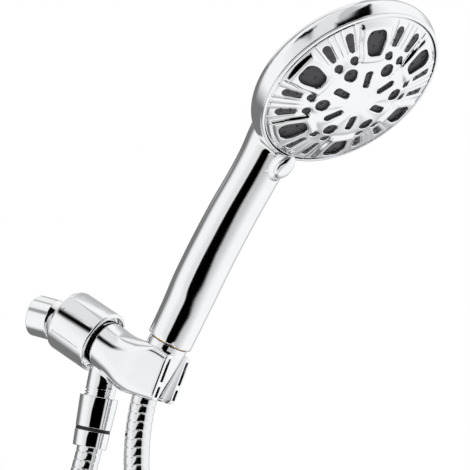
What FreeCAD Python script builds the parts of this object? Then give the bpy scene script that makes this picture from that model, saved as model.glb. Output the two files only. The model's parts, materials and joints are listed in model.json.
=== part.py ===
"""Handheld shower head parked in its swivel bracket, with its steel hose.

Frame: millimetres, +Z up. The origin is the centre of the open end of the inlet thread, where the
ball fitting screws on to the shower arm. The water comes from -X; the bracket, its collar, its
cradle and its spout share the mirror plane y = 0. The handset stands in the cradle and is turned a
little about the axis of the cradle, as a user leaves it.

Four local frames carry the pieces, each with its Z axis along the axis of what is turned there:
  inlet    Z from the open thread end to the ball centre
  collar   Z from the ball centre along the collar nut
  cradle   Z up the cradle axis, X forwards, origin level with the ball centre
  spout    Z down the water outlet, origin on the axis inside the arm
  handset  Z up the handle, X forwards, origin at the foot of the handle
  head     Z out of the spray face, X away from the handle, origin in the plane of the face seam
"""
import FreeCAD, Part
import math
import os

from FreeCAD import Matrix, Placement, Rotation, Vector

os.makedirs("parts", exist_ok=True)

# ---------------------------------------------------------------- driving dimensions
# shared
FIT = 0.05                     # radial clearance of a running fit
SEAT = 0.1                     # small gap between pieces that are drawn together by a thread
THREAD_R = 10.3                # half-inch pipe thread, male crest as modelled
THREAD_BORE_R = 10.45          # the same thread in a nut
PIPE_BORE_R = 9.32             # inlet female thread, minor radius
EDGE = 0.4                     # usual edge break

# inlet ball fitting
INLET_DROP = 16.4              # the inlet axis slopes down by this angle
BALL_CENTRE = 31.7             # open end of the thread to the ball centre
BALL_R = 12.5
BALL_GAP = 0.4                 # between the ball and the body in front of it
INLET_NUT_R = 12.65
INLET_NUT_LEN = 14.2
INLET_SHOULDER_R = 10.4
INLET_SHOULDER_LEN = 3.0
BALL_NECK_R = 7.0
BALL_BORE_R = 4.5
INLET_THREAD_LEN = 11.0
FILTER_THICK = 2.0
FILTER_RELIEF = 0.6            # the washer sits in a groove this much wider than the thread
STRAINER_THICK = 0.6

# collar nut and ball seats
COLLAR_DROP = 33.0             # slope of the collar axis
COLLAR_R = 19.7
COLLAR_BACK = 10.4             # behind the ball centre
COLLAR_FRONT = 20.6            # in front of the ball centre
COLLAR_FILLET = 1.8
COLLAR_CROWN_LEN = 7.5
COLLAR_CROWN_DROP = 1.7
COLLAR_MOUTH_R = 18.0
COLLAR_LIP_R = 11.6
COLLAR_LIP_AT = 8.2            # lip edge behind the ball centre
COLLAR_LIP_THICK = 0.6
GROOVES = 8
GROOVE_W = 1.0
GROOVE_DEPTH = 0.5
NECK_R = 16.6                  # threaded neck of the bracket
NECK_WALL = 1.5
SEAT_GAP = 1.2                 # each seat stops this far from the ball centre
LINER_THICK = 1.3              # spherical liner round the back of the ball
LINER_FRONT = 1.7              # its edges, behind the ball centre
LINER_END = 5.0
SEAT_FRONT_END = 9.0
SEAT_BORE_R = 6.5

# bracket body
CRADLE_LEAN = 31.0             # the cradle axis leans forwards from vertical
CRADLE_REACH = 60.4            # ball centre to cradle axis
CRADLE_R = 15.2                # half width of the cradle
CRADLE_TOP = 17.6              # rim behind the axis
CRADLE_RIM_DROP = 0.6          # the rim is this much lower in front
CRADLE_FRONT = 11.4            # axis to the end faces of the jaws, at the rim
CRADLE_FOOT_FRONT = 15.4       # the same at the foot
CRADLE_BOTTOM_BACK = -19.8
CRADLE_BOTTOM_FRONT = -12.4
CONE_TOP_R = 12.3              # cone nut at the rim of the cradle
CONE_TAPER = 1.6               # radius lost over the height of the cradle
CRADLE_GAP = 0.15              # radial gap between the cone nut and the cradle
SLOT_HALF = 8.0                # half of the slot that lets the hose through
JAW_CORNER = 2.6
JAW_ROUND = 5.0                # outer corners of the cradle, seen from the front
POCKET_DEPTH = 5.0
POCKET_WALL = 1.5
POCKET_RIB_AT = -1.7
POCKET_RIB = 3.0
POCKET_END = 2.4
ARM_WATER_R = 4.5
ARM_HALF_W = 15.0              # the arm is nearly as wide as the cradle that it runs into

# spout and hose nut
SPOUT_ROOT = (28.3, -10.0)     # point on the spout axis, in the cradle frame from the ball centre
SPOUT_LEAN = 18.4              # angle from the cradle axis
SPOUT_R = 9.3
SPOUT_LEN = 16.6
SPOUT_BORE_R = 7.2
INSERT_COLLAR_R = 9.4
INSERT_BORE_R = 4.6
RING_GROOVE = 0.9
NUT_TOP = 21.2
NUT_LEN = 19.2
NUT_TOP_R = 11.85
NUT_END_R = 10.4
BAND_W = 2.1
BAND_SINK = 0.35
SLEEVE_LEN = 9.9
NUT_THREAD_LEN = 9.5
WASHER_THICK = 2.0
FERRULE_FLANGE = 2.0
FERRULE_WALL = 0.35
HOSE_R = 7.8
HOSE_FIT = 0.05

# handset
HANDLE_FOOT = 21.3             # foot of the handle above the ball centre, on the cradle axis
HANDSET_TURN = -12.0           # how far the handset is turned in the cradle
HANDLE_R = 14.4
SHELL_WALL = 2.4
GRIP_R = 12.5                  # front of the grip at its thinnest
GRIP_BORE_R = 10.6
TUBE_BORE_R = 7.6              # narrow part of the bore, behind the lever
NARROW_FROM = 114.0
NARROW_TOP_DROP = 3.5          # top of the narrow part, below the length of the water tube
SPIGOT_PLUG_LEN = 14.0
SPIGOT_THREAD_LEN = 10.8
WATER_TUBE_R = 7.0
WATER_TUBE_WALL = 1.6
WATER_TUBE_DROP = 47.1         # length of the water tube, below the height of the face centre
HEAD_TILT = 20.8               # the spray face leans forwards from the handle
HEAD_FORWARD = 35.3            # centre of the seam plane, in the handset frame
HEAD_UP = 187.1
WATER_TUBE_LEN = HEAD_UP - WATER_TUBE_DROP
NARROW_TO = WATER_TUBE_LEN - NARROW_TOP_DROP

# head
SEAM_R = 57.0
RIM_R = 61.1
MOUTH_R = 58.6                 # outer radius of the shell at the seam
RIM_DEPTH = 9.5                # seam plane back to the widest ring
RIM_ROUND = 4.0
BACK_DEPTH = 31.0
TRIM_W = 0.7
TRIM_PROUD = 0.5
SEAM_GAP = 0.25
DOME_TOP = 12.3                # centre of the face above the seam plane
DOME_EDGE = 1.6
PLATE_THICK = 1.8
SHEET_THICK = 1.6
SHEET_GAP = 0.1
SKIRT = 3.6
PAD_PROUD = 0.7
PAD_W = 2.1
NOZZLE_R = 0.75
NOZZLE_TALL = 0.9
SPOKES = 6
SPRAYS = 6
CLICK_ANGLE = 22.5
FIRST_CLICK = -2               # clicks on one side of the place at rest

# spray engine
DISC_TOP = -3.4
DISC_THICK = 3.0
DISC_R = 56.4
VALVE_TOP = -8.6
VALVE_THICK = 3.4
VALVE_R = 53.6
PORT_RADIUS = 30.0
PORT_R = 4.0
ORING_R = 1.1
ORING_RADIUS = 51.8
HUB_R = 9.0
SCREW_R = 2.0
SCREW_HEAD_R = 4.0
DETENT_RADIUS = 36.0
DETENT_BALL_R = 2.0
FACE_SCREW_RADIUS = 44.0
BODY_SCREW_RADIUS = 46.0
BODY_SCREW_R = 1.35
BODY_SCREW_LEN = 3.4
FACE_SCREW_HOLE = 1.5
FACE_SCREW_HEAD = 2.8
FACE_SCREW_LEN = 5.0
BOSS_R = 2.9

# selector lever
LEVER_ROOT = 52.6
LEVER_TIP = 70.2
LEVER_WIDEST = 63.6
LEVER_HALF_W = 7.8             # at the widest place
LEVER_ROOT_HALF_W = 5.4
LEVER_OVER_RIM = 1.15          # underside of the lever where it passes over the rim
LEVER_ROOT_TOP = 3.4
LEVER_TOP = 8.4
LEVER_UNDER = 2.6              # underside of the lever at its tip
RECESS_R = 71.2                # the neck is cut away inside this radius
RECESS_FLOOR_IN = -5.5
RECESS_FLOOR_OUT = -1.6

# hose coil
COIL_R = 78.0                  # middle of the turns
COIL_TURNS = 2.7
COIL_PITCH = 16.5
COIL_CENTRE = (46.0, 0.0, -256.0)
TIE_W = 12.0
TIE_THICK = 1.2


# ---------------------------------------------------------------- helpers
def frame(origin, z_dir, x_dir):
    """Placement with the given origin, Z axis and nearest X axis."""
    z = Vector(*z_dir).normalize()
    y = z.cross(Vector(*x_dir)).normalize()
    x = y.cross(z)
    m = Matrix(x.x, y.x, z.x, origin[0], x.y, y.y, z.y, origin[1], x.z, y.z, z.z, origin[2], 0, 0, 0, 1)
    return Placement(m)


def put(shape, place):
    """A copy of the shape moved from a local frame into the part frame."""
    moved = shape.copy()
    moved.Placement = place.multiply(moved.Placement)
    return moved


def outline(points, plane="xz"):
    """Closed wire through the points (x, z, corner radius); a corner radius may be left out."""
    def at(p):
        return Vector(p[0], 0, p[1]) if plane == "xz" else Vector(p[0], p[1], 0)
    n = len(points)
    cuts = []
    for i in range(n):
        here, before, after = at(points[i]), at(points[i - 1]), at(points[(i + 1) % n])
        radius = points[i][2] if len(points[i]) > 2 else 0
        if radius <= 0:
            cuts.append((here, here, here))
            continue
        a = (before - here).normalize()
        b = (after - here).normalize()
        half = a.getAngle(b) / 2
        reach = radius / math.tan(half)
        middle = (a + b).normalize()
        top = here + middle * (radius / math.sin(half) - radius)
        cuts.append((here + a * reach, top, here + b * reach))
    edges = []
    for i in range(n):
        start, top, end = cuts[i]
        following = cuts[(i + 1) % n][0]
        if not start.isEqual(end, 1e-6):
            edges.append(Part.Arc(start, top, end).toShape())
        if not end.isEqual(following, 1e-6):
            edges.append(Part.LineSegment(end, following).toShape())
    return Part.Wire(edges)


def turned(points):
    """Solid of revolution about Z from the points (radius, height, corner radius)."""
    return Part.Face(outline(points)).revolve(Vector(0, 0, 0), Vector(0, 0, 1), 360)


def ring(r_in, r_out, z0, z1):
    """Tube between two radii and two heights."""
    return turned([(r_in, z0), (r_out, z0), (r_out, z1), (r_in, z1)])


def rod(r, z0, z1, x=0.0, y=0.0):
    """Upright cylinder."""
    return Part.makeCylinder(r, z1 - z0, Vector(x, y, z0))


def block(x0, x1, y0, y1, z0, z1):
    """Box between two corners."""
    return Part.makeBox(x1 - x0, y1 - y0, z1 - z0, Vector(x0, y0, z0))


def slab(points, z0, z1):
    """Prism between two heights on the outline points (x, y, corner radius)."""
    face = Part.Face(outline(points, "xy"))
    face.translate(Vector(0, 0, z0))
    return face.extrude(Vector(0, 0, z1 - z0))


def around(shape, count, first=0.0):
    """Copies of a shape, evenly turned about Z."""
    copies = []
    for i in range(count):
        copy = shape.copy()
        copy.rotate(Vector(0, 0, 0), Vector(0, 0, 1), first + 360.0 * i / count)
        copies.append(copy)
    return copies


def oval(half_x, half_y, place):
    """Oval wire about the origin of a placement; the seam is always on its X axis, for smooth lofts."""
    stretch = Matrix()
    stretch.scale(half_x, half_y, 1)
    wire = Part.Wire(Part.makeCircle(1).transformGeometry(stretch).Edges)
    wire.Placement = place
    return wire


def fuse(shapes):
    """One solid from many."""
    whole = shapes[0].fuse(shapes[1:]) if len(shapes) > 1 else shapes[0]
    return whole.removeSplitter()


def spring(radius, wire_r, z0, z1, turns, x=0.0, y=0.0):
    """Round-wire compression spring between two heights."""
    height = z1 - z0 - 2 * wire_r
    helix = Part.makeHelix(height / turns, height, radius)
    start = Part.Circle(Vector(radius, 0, 0), Vector(0, 1, 0), wire_r).toShape()
    coil = Part.Wire(helix.Edges).makePipeShell([Part.Wire(start)], True, True)
    coil.translate(Vector(x, y, z0 + wire_r))
    return coil


def export(name, shape, place=None):
    """Write one node."""
    final = put(shape, place) if place is not None else shape
    final.exportStep("parts/%s.step" % name)
    print("%-20s solids %d  volume %.1f" % (name, len(final.Solids), final.Volume))


# ---------------------------------------------------------------- frames
def slope(angle):
    """Direction in the mirror plane, forwards and down by the angle."""
    return Vector(math.cos(math.radians(angle)), 0, -math.sin(math.radians(angle)))


inlet_dir = slope(INLET_DROP)
collar_dir = slope(COLLAR_DROP)
cradle_fwd = slope(CRADLE_LEAN)
cradle_up = Vector(math.sin(math.radians(CRADLE_LEAN)), 0, math.cos(math.radians(CRADLE_LEAN)))
ball = inlet_dir * BALL_CENTRE

INLET = frame((0, 0, 0), inlet_dir, (0, 0, 1))
COLLAR = frame(ball, collar_dir, (0, 0, 1))
ARM = frame(ball, cradle_up, cradle_fwd)
CRADLE = frame(ball + cradle_fwd * CRADLE_REACH, cradle_up, cradle_fwd)
spout_dir = (-cradle_up * math.cos(math.radians(SPOUT_LEAN))
             + cradle_fwd * math.sin(math.radians(SPOUT_LEAN)))
spout_root = ball + cradle_fwd * SPOUT_ROOT[0] + cradle_up * SPOUT_ROOT[1]
SPOUT = frame(spout_root, spout_dir, cradle_fwd)
HANDSET = CRADLE.multiply(Placement(Vector(0, 0, HANDLE_FOOT), Rotation(Vector(0, 0, 1), HANDSET_TURN)))
tilt = math.radians(HEAD_TILT)
HEAD_IN_HANDSET = frame((HEAD_FORWARD, 0, HEAD_UP), (math.cos(tilt), 0, -math.sin(tilt)),
                        (math.sin(tilt), 0, math.cos(tilt)))
HEAD = HANDSET.multiply(HEAD_IN_HANDSET)
HANDSET_FROM_HEAD = HEAD_IN_HANDSET.inverse()
COIL = frame(COIL_CENTRE, (0, 1, 0), (1, 0, 0))


# ---------------------------------------------------------------- inlet ball fitting
def ball_fitting():
    """Brass nut body, narrow neck and hollow ball in one turned piece."""
    shoulder = INLET_NUT_LEN + INLET_SHOULDER_LEN
    body = turned([
        (0, 0), (INLET_NUT_R, 0, 0.8), (INLET_NUT_R, INLET_NUT_LEN, 1.0),
        (INLET_SHOULDER_R, shoulder), (BALL_NECK_R, shoulder + 0.5), (BALL_NECK_R, BALL_CENTRE), (0, BALL_CENTRE)])
    sphere = Part.makeSphere(BALL_R, Vector(0, 0, BALL_CENTRE))
    body = fuse([body, sphere])
    body = body.cut(rod(PIPE_BORE_R, -1, INLET_THREAD_LEN))
    body = body.cut(rod(PIPE_BORE_R + FILTER_RELIEF, INLET_THREAD_LEN, INLET_THREAD_LEN + FILTER_THICK + SEAT))
    return body.cut(rod(BALL_BORE_R, 0, BALL_CENTRE + BALL_R + 1))


def inlet_filter_washer():
    """Rubber washer with a strainer across it, in the groove at the floor of the inlet thread."""
    top = INLET_THREAD_LEN + SEAT / 2
    washer = ring(BALL_BORE_R, PIPE_BORE_R + FILTER_RELIEF - FIT, top, top + FILTER_THICK)
    middle = top + FILTER_THICK / 2
    strainer = rod(BALL_BORE_R + SEAT, middle - STRAINER_THICK / 2, middle + STRAINER_THICK / 2)
    return fuse([washer, strainer])


def rear_ball_seat():
    """Plastic liner behind the middle of the ball, a zone of a hollow sphere."""
    zone = rod(NECK_R, -LINER_END, -LINER_FRONT).common(Part.makeSphere(BALL_R + LINER_THICK))
    return zone.cut(Part.makeSphere(BALL_R + FIT))


def slip_ring():
    """Hard ring hollowed to a sphere for the liner; the lip of the collar nut slides on its back."""
    rear = -COLLAR_LIP_AT + COLLAR_LIP_THICK + SEAT
    body = ring(BALL_NECK_R, NECK_R + SEAT - FIT, rear, -SEAT_GAP)
    return body.cut(Part.makeSphere(BALL_R + LINER_THICK + SEAT))


def front_ball_seat():
    """Rubber-faced cup in front of the ball, which seals on it."""
    body = ring(SEAT_BORE_R, NECK_R - NECK_WALL - FIT, SEAT_GAP, SEAT_FRONT_END)
    return body.cut(Part.makeSphere(BALL_R + FIT))


def collar_nut():
    """Nut with a rounded front shoulder and eight grip grooves, which clamps the ball."""
    inner = NECK_R + SEAT
    crown = COLLAR_FRONT - COLLAR_CROWN_LEN
    front_r = COLLAR_R - COLLAR_CROWN_DROP
    lip = -COLLAR_LIP_AT
    body = turned([
        (COLLAR_MOUTH_R, -COLLAR_BACK), (COLLAR_R, -COLLAR_BACK, COLLAR_FILLET * 0.9), (COLLAR_R, crown, 18.0),
        (front_r, COLLAR_FRONT, 0.8), (inner, COLLAR_FRONT), (inner, lip + COLLAR_LIP_THICK),
        (COLLAR_LIP_R, lip + COLLAR_LIP_THICK), (COLLAR_LIP_R, lip)])
    groove = block(COLLAR_R - GROOVE_DEPTH, COLLAR_R + 1, -GROOVE_W / 2, GROOVE_W / 2,
                   -COLLAR_BACK + 2 * COLLAR_FILLET, crown)
    return body.cut(around(groove, GROOVES, 180.0 / GROOVES))


# ---------------------------------------------------------------- bracket
def arm_section(x, z, half_w, half_h, corner):
    """Rounded oblong wire across the arm at x, centred on height z."""
    wire = outline([(-half_h, -half_w, corner), (half_h, -half_w, corner), (half_h, half_w, corner),
                    (-half_h, half_w, corner)], "xy")
    wire.Placement = Placement(Vector(x, 0, z), Rotation(Vector(0, 1, 0), -90))
    return wire


def cradle_plan(height, front):
    """Horseshoe plan of the cradle at a height, open to the front."""
    side, c = CRADLE_R, JAW_CORNER
    bend = c * math.sin(math.pi / 4)
    spots = [(0, -side), (front - c, -side), (front - c + bend, -side + c - bend), (front, -side + c),
             (front, side - c), (front - c + bend, side - c + bend), (front - c, side), (0, side), (-side, 0)]
    p = [Vector(x, y, height) for x, y in spots]
    edges = [Part.LineSegment(p[0], p[1]), Part.Arc(p[1], p[2], p[3]), Part.LineSegment(p[3], p[4]),
             Part.Arc(p[4], p[5], p[6]), Part.LineSegment(p[6], p[7]), Part.Arc(p[7], p[8], p[0])]
    return Part.Wire([e.toShape() for e in edges])


def half_space(x0, z0, x1, z1, above):
    """Large block above or below the slanted line through two points, square to the mirror plane."""
    size = 90.0
    body = block(-size, size, -size, size, 0, size) if above else block(-size, size, -size, size, -size, 0)
    body.rotate(Vector(0, 0, 0), Vector(0, 1, 0), -math.degrees(math.atan2(z1 - z0, x1 - x0)))
    body.translate(Vector(x0, 0, z0))
    return body


def cone_radius(height):
    """Radius of the cone nut at a height in the cradle frame."""
    return CONE_TOP_R - CONE_TAPER * (CRADLE_TOP - height) / (CRADLE_TOP - CRADLE_BOTTOM_BACK)


def bracket_body():
    """Arm, slotted cradle, water spout and threaded neck: one chromed moulding."""
    # arm, in the frame of the cradle with its origin at the ball
    drop = math.tan(math.radians(COLLAR_DROP - CRADLE_LEAN))
    sections = [
        arm_section(19.0, -19.0 * drop, 15.9, 15.9, 15.5),
        arm_section(27.0, -1.5, 15.4, 15.0, 13.5),
        arm_section(36.0, -2.4, ARM_HALF_W, 15.2, 11.5),
        arm_section(46.0, -2.2, ARM_HALF_W, 16.4, 10.5),
        arm_section(CRADLE_REACH - 6.0, -1.6, ARM_HALF_W, 17.4, 10.0)]
    arm = Part.makeLoft(sections, True, False)
    arm = put(arm, ARM)
    # cradle block with its slanted jaws, rim and foot
    cradle = Part.makeLoft([cradle_plan(CRADLE_BOTTOM_BACK, CRADLE_FOOT_FRONT),
                            cradle_plan(CRADLE_TOP, CRADLE_FRONT)], True, True)
    cradle = cradle.cut(half_space(-CRADLE_R, CRADLE_BOTTOM_BACK, CRADLE_FOOT_FRONT, CRADLE_BOTTOM_FRONT, False))
    cradle = cradle.cut(half_space(0, CRADLE_TOP, CRADLE_FRONT, CRADLE_TOP - CRADLE_RIM_DROP, True))
    front_view = outline([(-CRADLE_R, CRADLE_BOTTOM_BACK - 2), (CRADLE_R, CRADLE_BOTTOM_BACK - 2),
                          (CRADLE_R, CRADLE_TOP, JAW_ROUND), (-CRADLE_R, CRADLE_TOP, JAW_ROUND)])
    rounded = Part.Face(front_view).extrude(Vector(0, 60, 0))
    rounded.translate(Vector(0, -30, 0))
    rounded.rotate(Vector(0, 0, 0), Vector(0, 0, 1), 90)
    cradle = put(cradle.common(rounded), CRADLE)
    # spout
    spout = put(rod(SPOUT_R, -4, SPOUT_LEN), SPOUT)
    # threaded neck inside the collar, and the shoulder that fills its mouth
    neck = put(ring(NECK_R - NECK_WALL, NECK_R, -SEAT_GAP + SEAT, COLLAR_FRONT - 1.0), COLLAR)
    plug = put(rod(NECK_R, SEAT_FRONT_END + SEAT, COLLAR_FRONT - 1.0), COLLAR)
    body = fuse([arm, cradle, spout, neck, plug])
    # the arm never enters the ball socket
    socket = put(rod(NECK_R - NECK_WALL, -SEAT_GAP - 2, SEAT_FRONT_END + SEAT), COLLAR)
    body = body.cut([socket, Part.makeSphere(BALL_R + BALL_GAP, ball)])
    # cradle bore, slot and jaw pockets
    lo = CRADLE_BOTTOM_BACK - 2
    hi = CRADLE_TOP + 1
    bore = turned([(0, lo), (cone_radius(lo) + CRADLE_GAP, lo), (cone_radius(hi) + CRADLE_GAP, hi), (0, hi)])
    slot = block(0, CRADLE_FOOT_FRONT + 5, -SLOT_HALF, SLOT_HALF, lo, hi)
    cuts = [bore, slot]
    rib = POCKET_RIB / 2
    top = CRADLE_TOP - CRADLE_RIM_DROP - POCKET_END
    for side in (-1, 1):
        y0, y1 = sorted((side * (SLOT_HALF + POCKET_WALL), side * (CRADLE_R - POCKET_WALL)))
        for z0, z1, front in ((POCKET_RIB_AT + rib, top, CRADLE_FRONT),
                              (CRADLE_BOTTOM_FRONT + POCKET_END, POCKET_RIB_AT - rib, CRADLE_FOOT_FRONT)):
            cuts.append(block(front - POCKET_DEPTH, CRADLE_FOOT_FRONT + 1, y0, y1, z0, z1))
    body = body.cut([put(c, CRADLE) for c in cuts])
    # water way: from the ball socket along the collar axis, then down the spout
    water = put(rod(ARM_WATER_R, 0, 34.0), COLLAR)
    down = put(rod(ARM_WATER_R, -1.0, SPOUT_LEN + 1), SPOUT)
    insert_hole = put(rod(SPOUT_BORE_R, SPOUT_LEN - 8.0, SPOUT_LEN + 1), SPOUT)
    return body.cut([water, down, insert_hole])


def outlet_insert():
    """Brass nipple pressed into the spout: grooved collar above, male thread for the hose nut below."""
    start = SPOUT_LEN - 8.0 + SEAT
    step = (NUT_TOP - SPOUT_LEN) / 5
    z = SPOUT_LEN + SEAT
    profile = [(INSERT_BORE_R, start), (SPOUT_BORE_R - FIT, start), (SPOUT_BORE_R - FIT, z)]
    for i in range(5):
        r = INSERT_COLLAR_R if i % 2 == 0 else INSERT_COLLAR_R - RING_GROOVE
        profile += [(r, z + step * i), (r, z + step * (i + 1))]
    top = z + step * 5
    end = NUT_TOP + NUT_THREAD_LEN
    profile += [(THREAD_R, top), (THREAD_R, end, EDGE), (INSERT_BORE_R, end)]
    return turned(profile)


def check_valve():
    """Plastic check valve cartridge inside the outlet nipple."""
    body = ring(2.6, INSERT_BORE_R - FIT, SPOUT_LEN - 6.0, SPOUT_LEN + 4.0)
    poppet = turned([(0, SPOUT_LEN - 3.0), (3.0, SPOUT_LEN - 3.0), (2.6, SPOUT_LEN - 1.0), (0, SPOUT_LEN + 1.0)])
    return fuse([body, poppet])


def nut_radius(s):
    """Outer radius of the hose nut, band and sleeve at a place on the spout axis."""
    whole = NUT_LEN + BAND_W + SLEEVE_LEN
    return NUT_TOP_R - (NUT_TOP_R - NUT_END_R) * (s - NUT_TOP) / whole


BAND_AT = NUT_TOP + NUT_LEN
SLEEVE_AT = BAND_AT + BAND_W
SLEEVE_END = SLEEVE_AT + SLEEVE_LEN
THREAD_END = NUT_TOP + NUT_THREAD_LEN
FLANGE_AT = THREAD_END + WASHER_THICK + SEAT
STEP_AT = FLANGE_AT + FERRULE_FLANGE + SEAT
FERRULE_R = HOSE_R + HOSE_FIT + FERRULE_WALL


def hose_nut():
    """Nut that joins the hose to the bracket; it turns on the thread and round the ferrule."""
    return turned([
        (THREAD_BORE_R, NUT_TOP), (nut_radius(NUT_TOP), NUT_TOP, 0.5), (nut_radius(BAND_AT), BAND_AT, 0.3),
        (FERRULE_R + FIT, BAND_AT), (FERRULE_R + FIT, STEP_AT), (THREAD_BORE_R, STEP_AT)])


def nut_band():
    """Black rubber ring between the nut and its sleeve."""
    gap = 0.02
    r = nut_radius(BAND_AT) - BAND_SINK
    return ring(FERRULE_R + FIT, r, BAND_AT + gap, SLEEVE_AT - gap)


def nut_sleeve():
    """Chromed sleeve below the band, fixed to the hose."""
    return turned([
        (FERRULE_R + 0.02, SLEEVE_AT), (nut_radius(SLEEVE_AT), SLEEVE_AT, 0.3),
        (nut_radius(SLEEVE_END), SLEEVE_END, 0.8), (FERRULE_R + 0.02, SLEEVE_END)])


def hose_washer():
    """Rubber washer between the outlet nipple and the hose."""
    return ring(INSERT_BORE_R, THREAD_BORE_R - 0.3, THREAD_END + SEAT / 2, THREAD_END + SEAT / 2 + WASHER_THICK)


def ferrule(flange_z, end_z, down):
    """Brass ferrule: a flange that seals on the washer and a sleeve crimped on the hose."""
    sign = 1 if down else -1
    f = flange_z
    g = flange_z + sign * FERRULE_FLANGE
    points = [(4.0, f), (THREAD_BORE_R - 0.35, f), (THREAD_BORE_R - 0.35, g), (FERRULE_R, g), (FERRULE_R, end_z),
              (HOSE_R + HOSE_FIT, end_z), (HOSE_R + HOSE_FIT, g), (4.0, g)]
    return turned(points)


FERRULE_END = SLEEVE_END - 1.0

# ---------------------------------------------------------------- hose end in the cradle
CONE_TOP_AT = HANDLE_FOOT - 0.3
CONE_END_AT = -12.0
SPIGOT_END_AT = HANDLE_FOOT - SPIGOT_THREAD_LEN
CONE_WASHER_AT = SPIGOT_END_AT - SEAT - WASHER_THICK
UPPER_FLANGE_AT = CONE_WASHER_AT - SEAT / 2
UPPER_STEP_AT = UPPER_FLANGE_AT - FERRULE_FLANGE - SEAT
UPPER_FERRULE_END = UPPER_STEP_AT - 3.2
CONE_LIP = 2.0                 # lip of the cone nut under the flange of the ferrule
CONE_MOUTH_R = 9.8             # the hose leaves the nut with room to bend


def cone_nut():
    """Conical nut on the hose, which drops into the cradle and turns on the handset thread."""
    return turned([
        (THREAD_BORE_R, CONE_TOP_AT), (cone_radius(CONE_TOP_AT), CONE_TOP_AT, 0.6),
        (cone_radius(CONE_END_AT), CONE_END_AT, 0.5), (CONE_MOUTH_R, CONE_END_AT),
        (CONE_MOUTH_R, UPPER_STEP_AT - CONE_LIP - 2.0), (FERRULE_R + FIT, UPPER_STEP_AT - CONE_LIP),
        (FERRULE_R + FIT, UPPER_STEP_AT), (THREAD_BORE_R, UPPER_STEP_AT)])


def cone_washer():
    """Rubber washer between the hose and the handset."""
    return ring(4.6, THREAD_BORE_R - 0.3, CONE_WASHER_AT, CONE_WASHER_AT + WASHER_THICK)


# ---------------------------------------------------------------- handset shell
def handle_section(height, front, back, half_w):
    """Oval wire across the handle: front and back reach from the handle axis, and half its width."""
    centre = (front - back) / 2
    return oval((front + back) / 2, half_w, Placement(Vector(centre, 0, height), Rotation()))


def handle_solid():
    """Handle, neck and the spine that runs up the back of the head."""
    r = HANDLE_R
    g = GRIP_R
    rows = [
        (0.0, r, r, r),
        (15.0, r - 0.4, r + 1.3, r + 0.4),
        (30.0, r - 1.0, r + 2.1, r + 0.5),
        (60.0, g, r + 3.0, r + 0.5),
        (85.0, g + 0.3, r + 2.6, r + 0.5),
        (110.0, r - 0.4, r + 1.1, r + 0.3),
        (125.0, r + 0.3, r + 0.9, r + 0.6),
        (140.0, r + 1.1, r + 1.9, r + 1.5),
        (165.0, r + 3.0, r - 0.2, r + 2.6),
        (190.0, r + 7.0, r - 6.2, r + 3.6),
        (212.0, r + 13.0, -4.0, r + 3.8),
        (228.0, r + 20.0, -18.0, r + 2.4),
        (238.0, r + 27.0, -29.5, r - 1.4),
        (244.0, r + 32.0, -38.5, r - 6.4)]
    return Part.makeLoft([handle_section(*row) for row in rows], True, False)


def head_profile(inset, front):
    """Half outline of the head bowl, moved inwards by the inset; front is the height of its mouth."""
    rim = RIM_R - inset
    widest = -RIM_DEPTH
    corner = RIM_ROUND - min(inset, RIM_ROUND - 1.0)
    mouth = MOUTH_R - inset
    return [
        Vector(0, 0, front), Vector(mouth, 0, front), Vector(rim - 0.9, 0, widest * 0.45), Vector(rim, 0, widest),
        Vector(rim - corner * 0.45, 0, widest - corner * 0.95), Vector(46.0 - inset, 0, -20.0 + inset),
        Vector(0, 0, -BACK_DEPTH + inset)]


def bowl(inset, front):
    """Solid of the head bowl between its front mouth and its domed back."""
    p = head_profile(inset, front)
    side = Part.BSplineCurve()
    side.interpolate([p[1], p[2], p[3], p[4]])
    back = Part.BSplineCurve()
    back.interpolate([p[4], p[5], p[6]], InitialTangent=Vector(-0.9, 0, -0.45) * 40, FinalTangent=Vector(-1, 0, 0) * 40)
    edges = [Part.LineSegment(p[0], p[1]).toShape(), side.toShape(), back.toShape(),
             Part.LineSegment(p[6], p[0]).toShape()]
    return Part.Face(Part.Wire(edges)).revolve(Vector(0, 0, 0), Vector(0, 0, 1), 360)


def handset_shell():
    """Head bowl, neck and handle in one hollow chromed moulding."""
    head = put(bowl(0.0, 0.0), HEAD_IN_HANDSET)
    # the neck is cut away round the head axis, so that the lever can swing
    high = 60.0
    recess = turned([(0, RECESS_FLOOR_IN), (SEAM_R, RECESS_FLOOR_IN), (RECESS_R, RECESS_FLOOR_OUT, 1.0),
                     (RECESS_R, high), (0, high)])
    neck = handle_solid().cut(put(recess, HEAD_IN_HANDSET))
    body = fuse([neck, head])
    # hollow
    seat = SEAM_R + SEAM_GAP / 2 + TRIM_W + SEAT
    inner = put(bowl(SHELL_WALL, 0.5), HEAD_IN_HANDSET)
    mouth = put(rod(seat, -2.1 - SEAT, 1.0), HEAD_IN_HANDSET)
    bore = turned([
        (0, -1), (HANDLE_R - SHELL_WALL, -1), (HANDLE_R - SHELL_WALL, SPIGOT_PLUG_LEN),
        (GRIP_BORE_R, SPIGOT_PLUG_LEN), (GRIP_BORE_R, NARROW_FROM - 4), (TUBE_BORE_R, NARROW_FROM),
        (TUBE_BORE_R, NARROW_TO), (GRIP_BORE_R, NARROW_TO), (GRIP_BORE_R, WATER_TUBE_LEN + 12), (0, WATER_TUBE_LEN + 12)])
    body = body.cut([inner, mouth, bore])
    # bosses for the screws of the valve body, down to the wall of the bowl
    bosses = around(rod(3.4, -22.0, VALVE_TOP - VALVE_THICK, BODY_SCREW_RADIUS, 0), 4, 45)
    depth = VALVE_TOP - VALVE_THICK - BODY_SCREW_LEN - 0.3
    holes = around(rod(BODY_SCREW_R + FIT, depth, 0.0, BODY_SCREW_RADIUS, 0), 4, 45)
    outer = bowl(SHELL_WALL / 2, 0.0)
    bosses = [b.common(outer).cut(holes) for b in bosses]
    body = fuse([body] + [put(b, HEAD_IN_HANDSET) for b in bosses])
    return body


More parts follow.
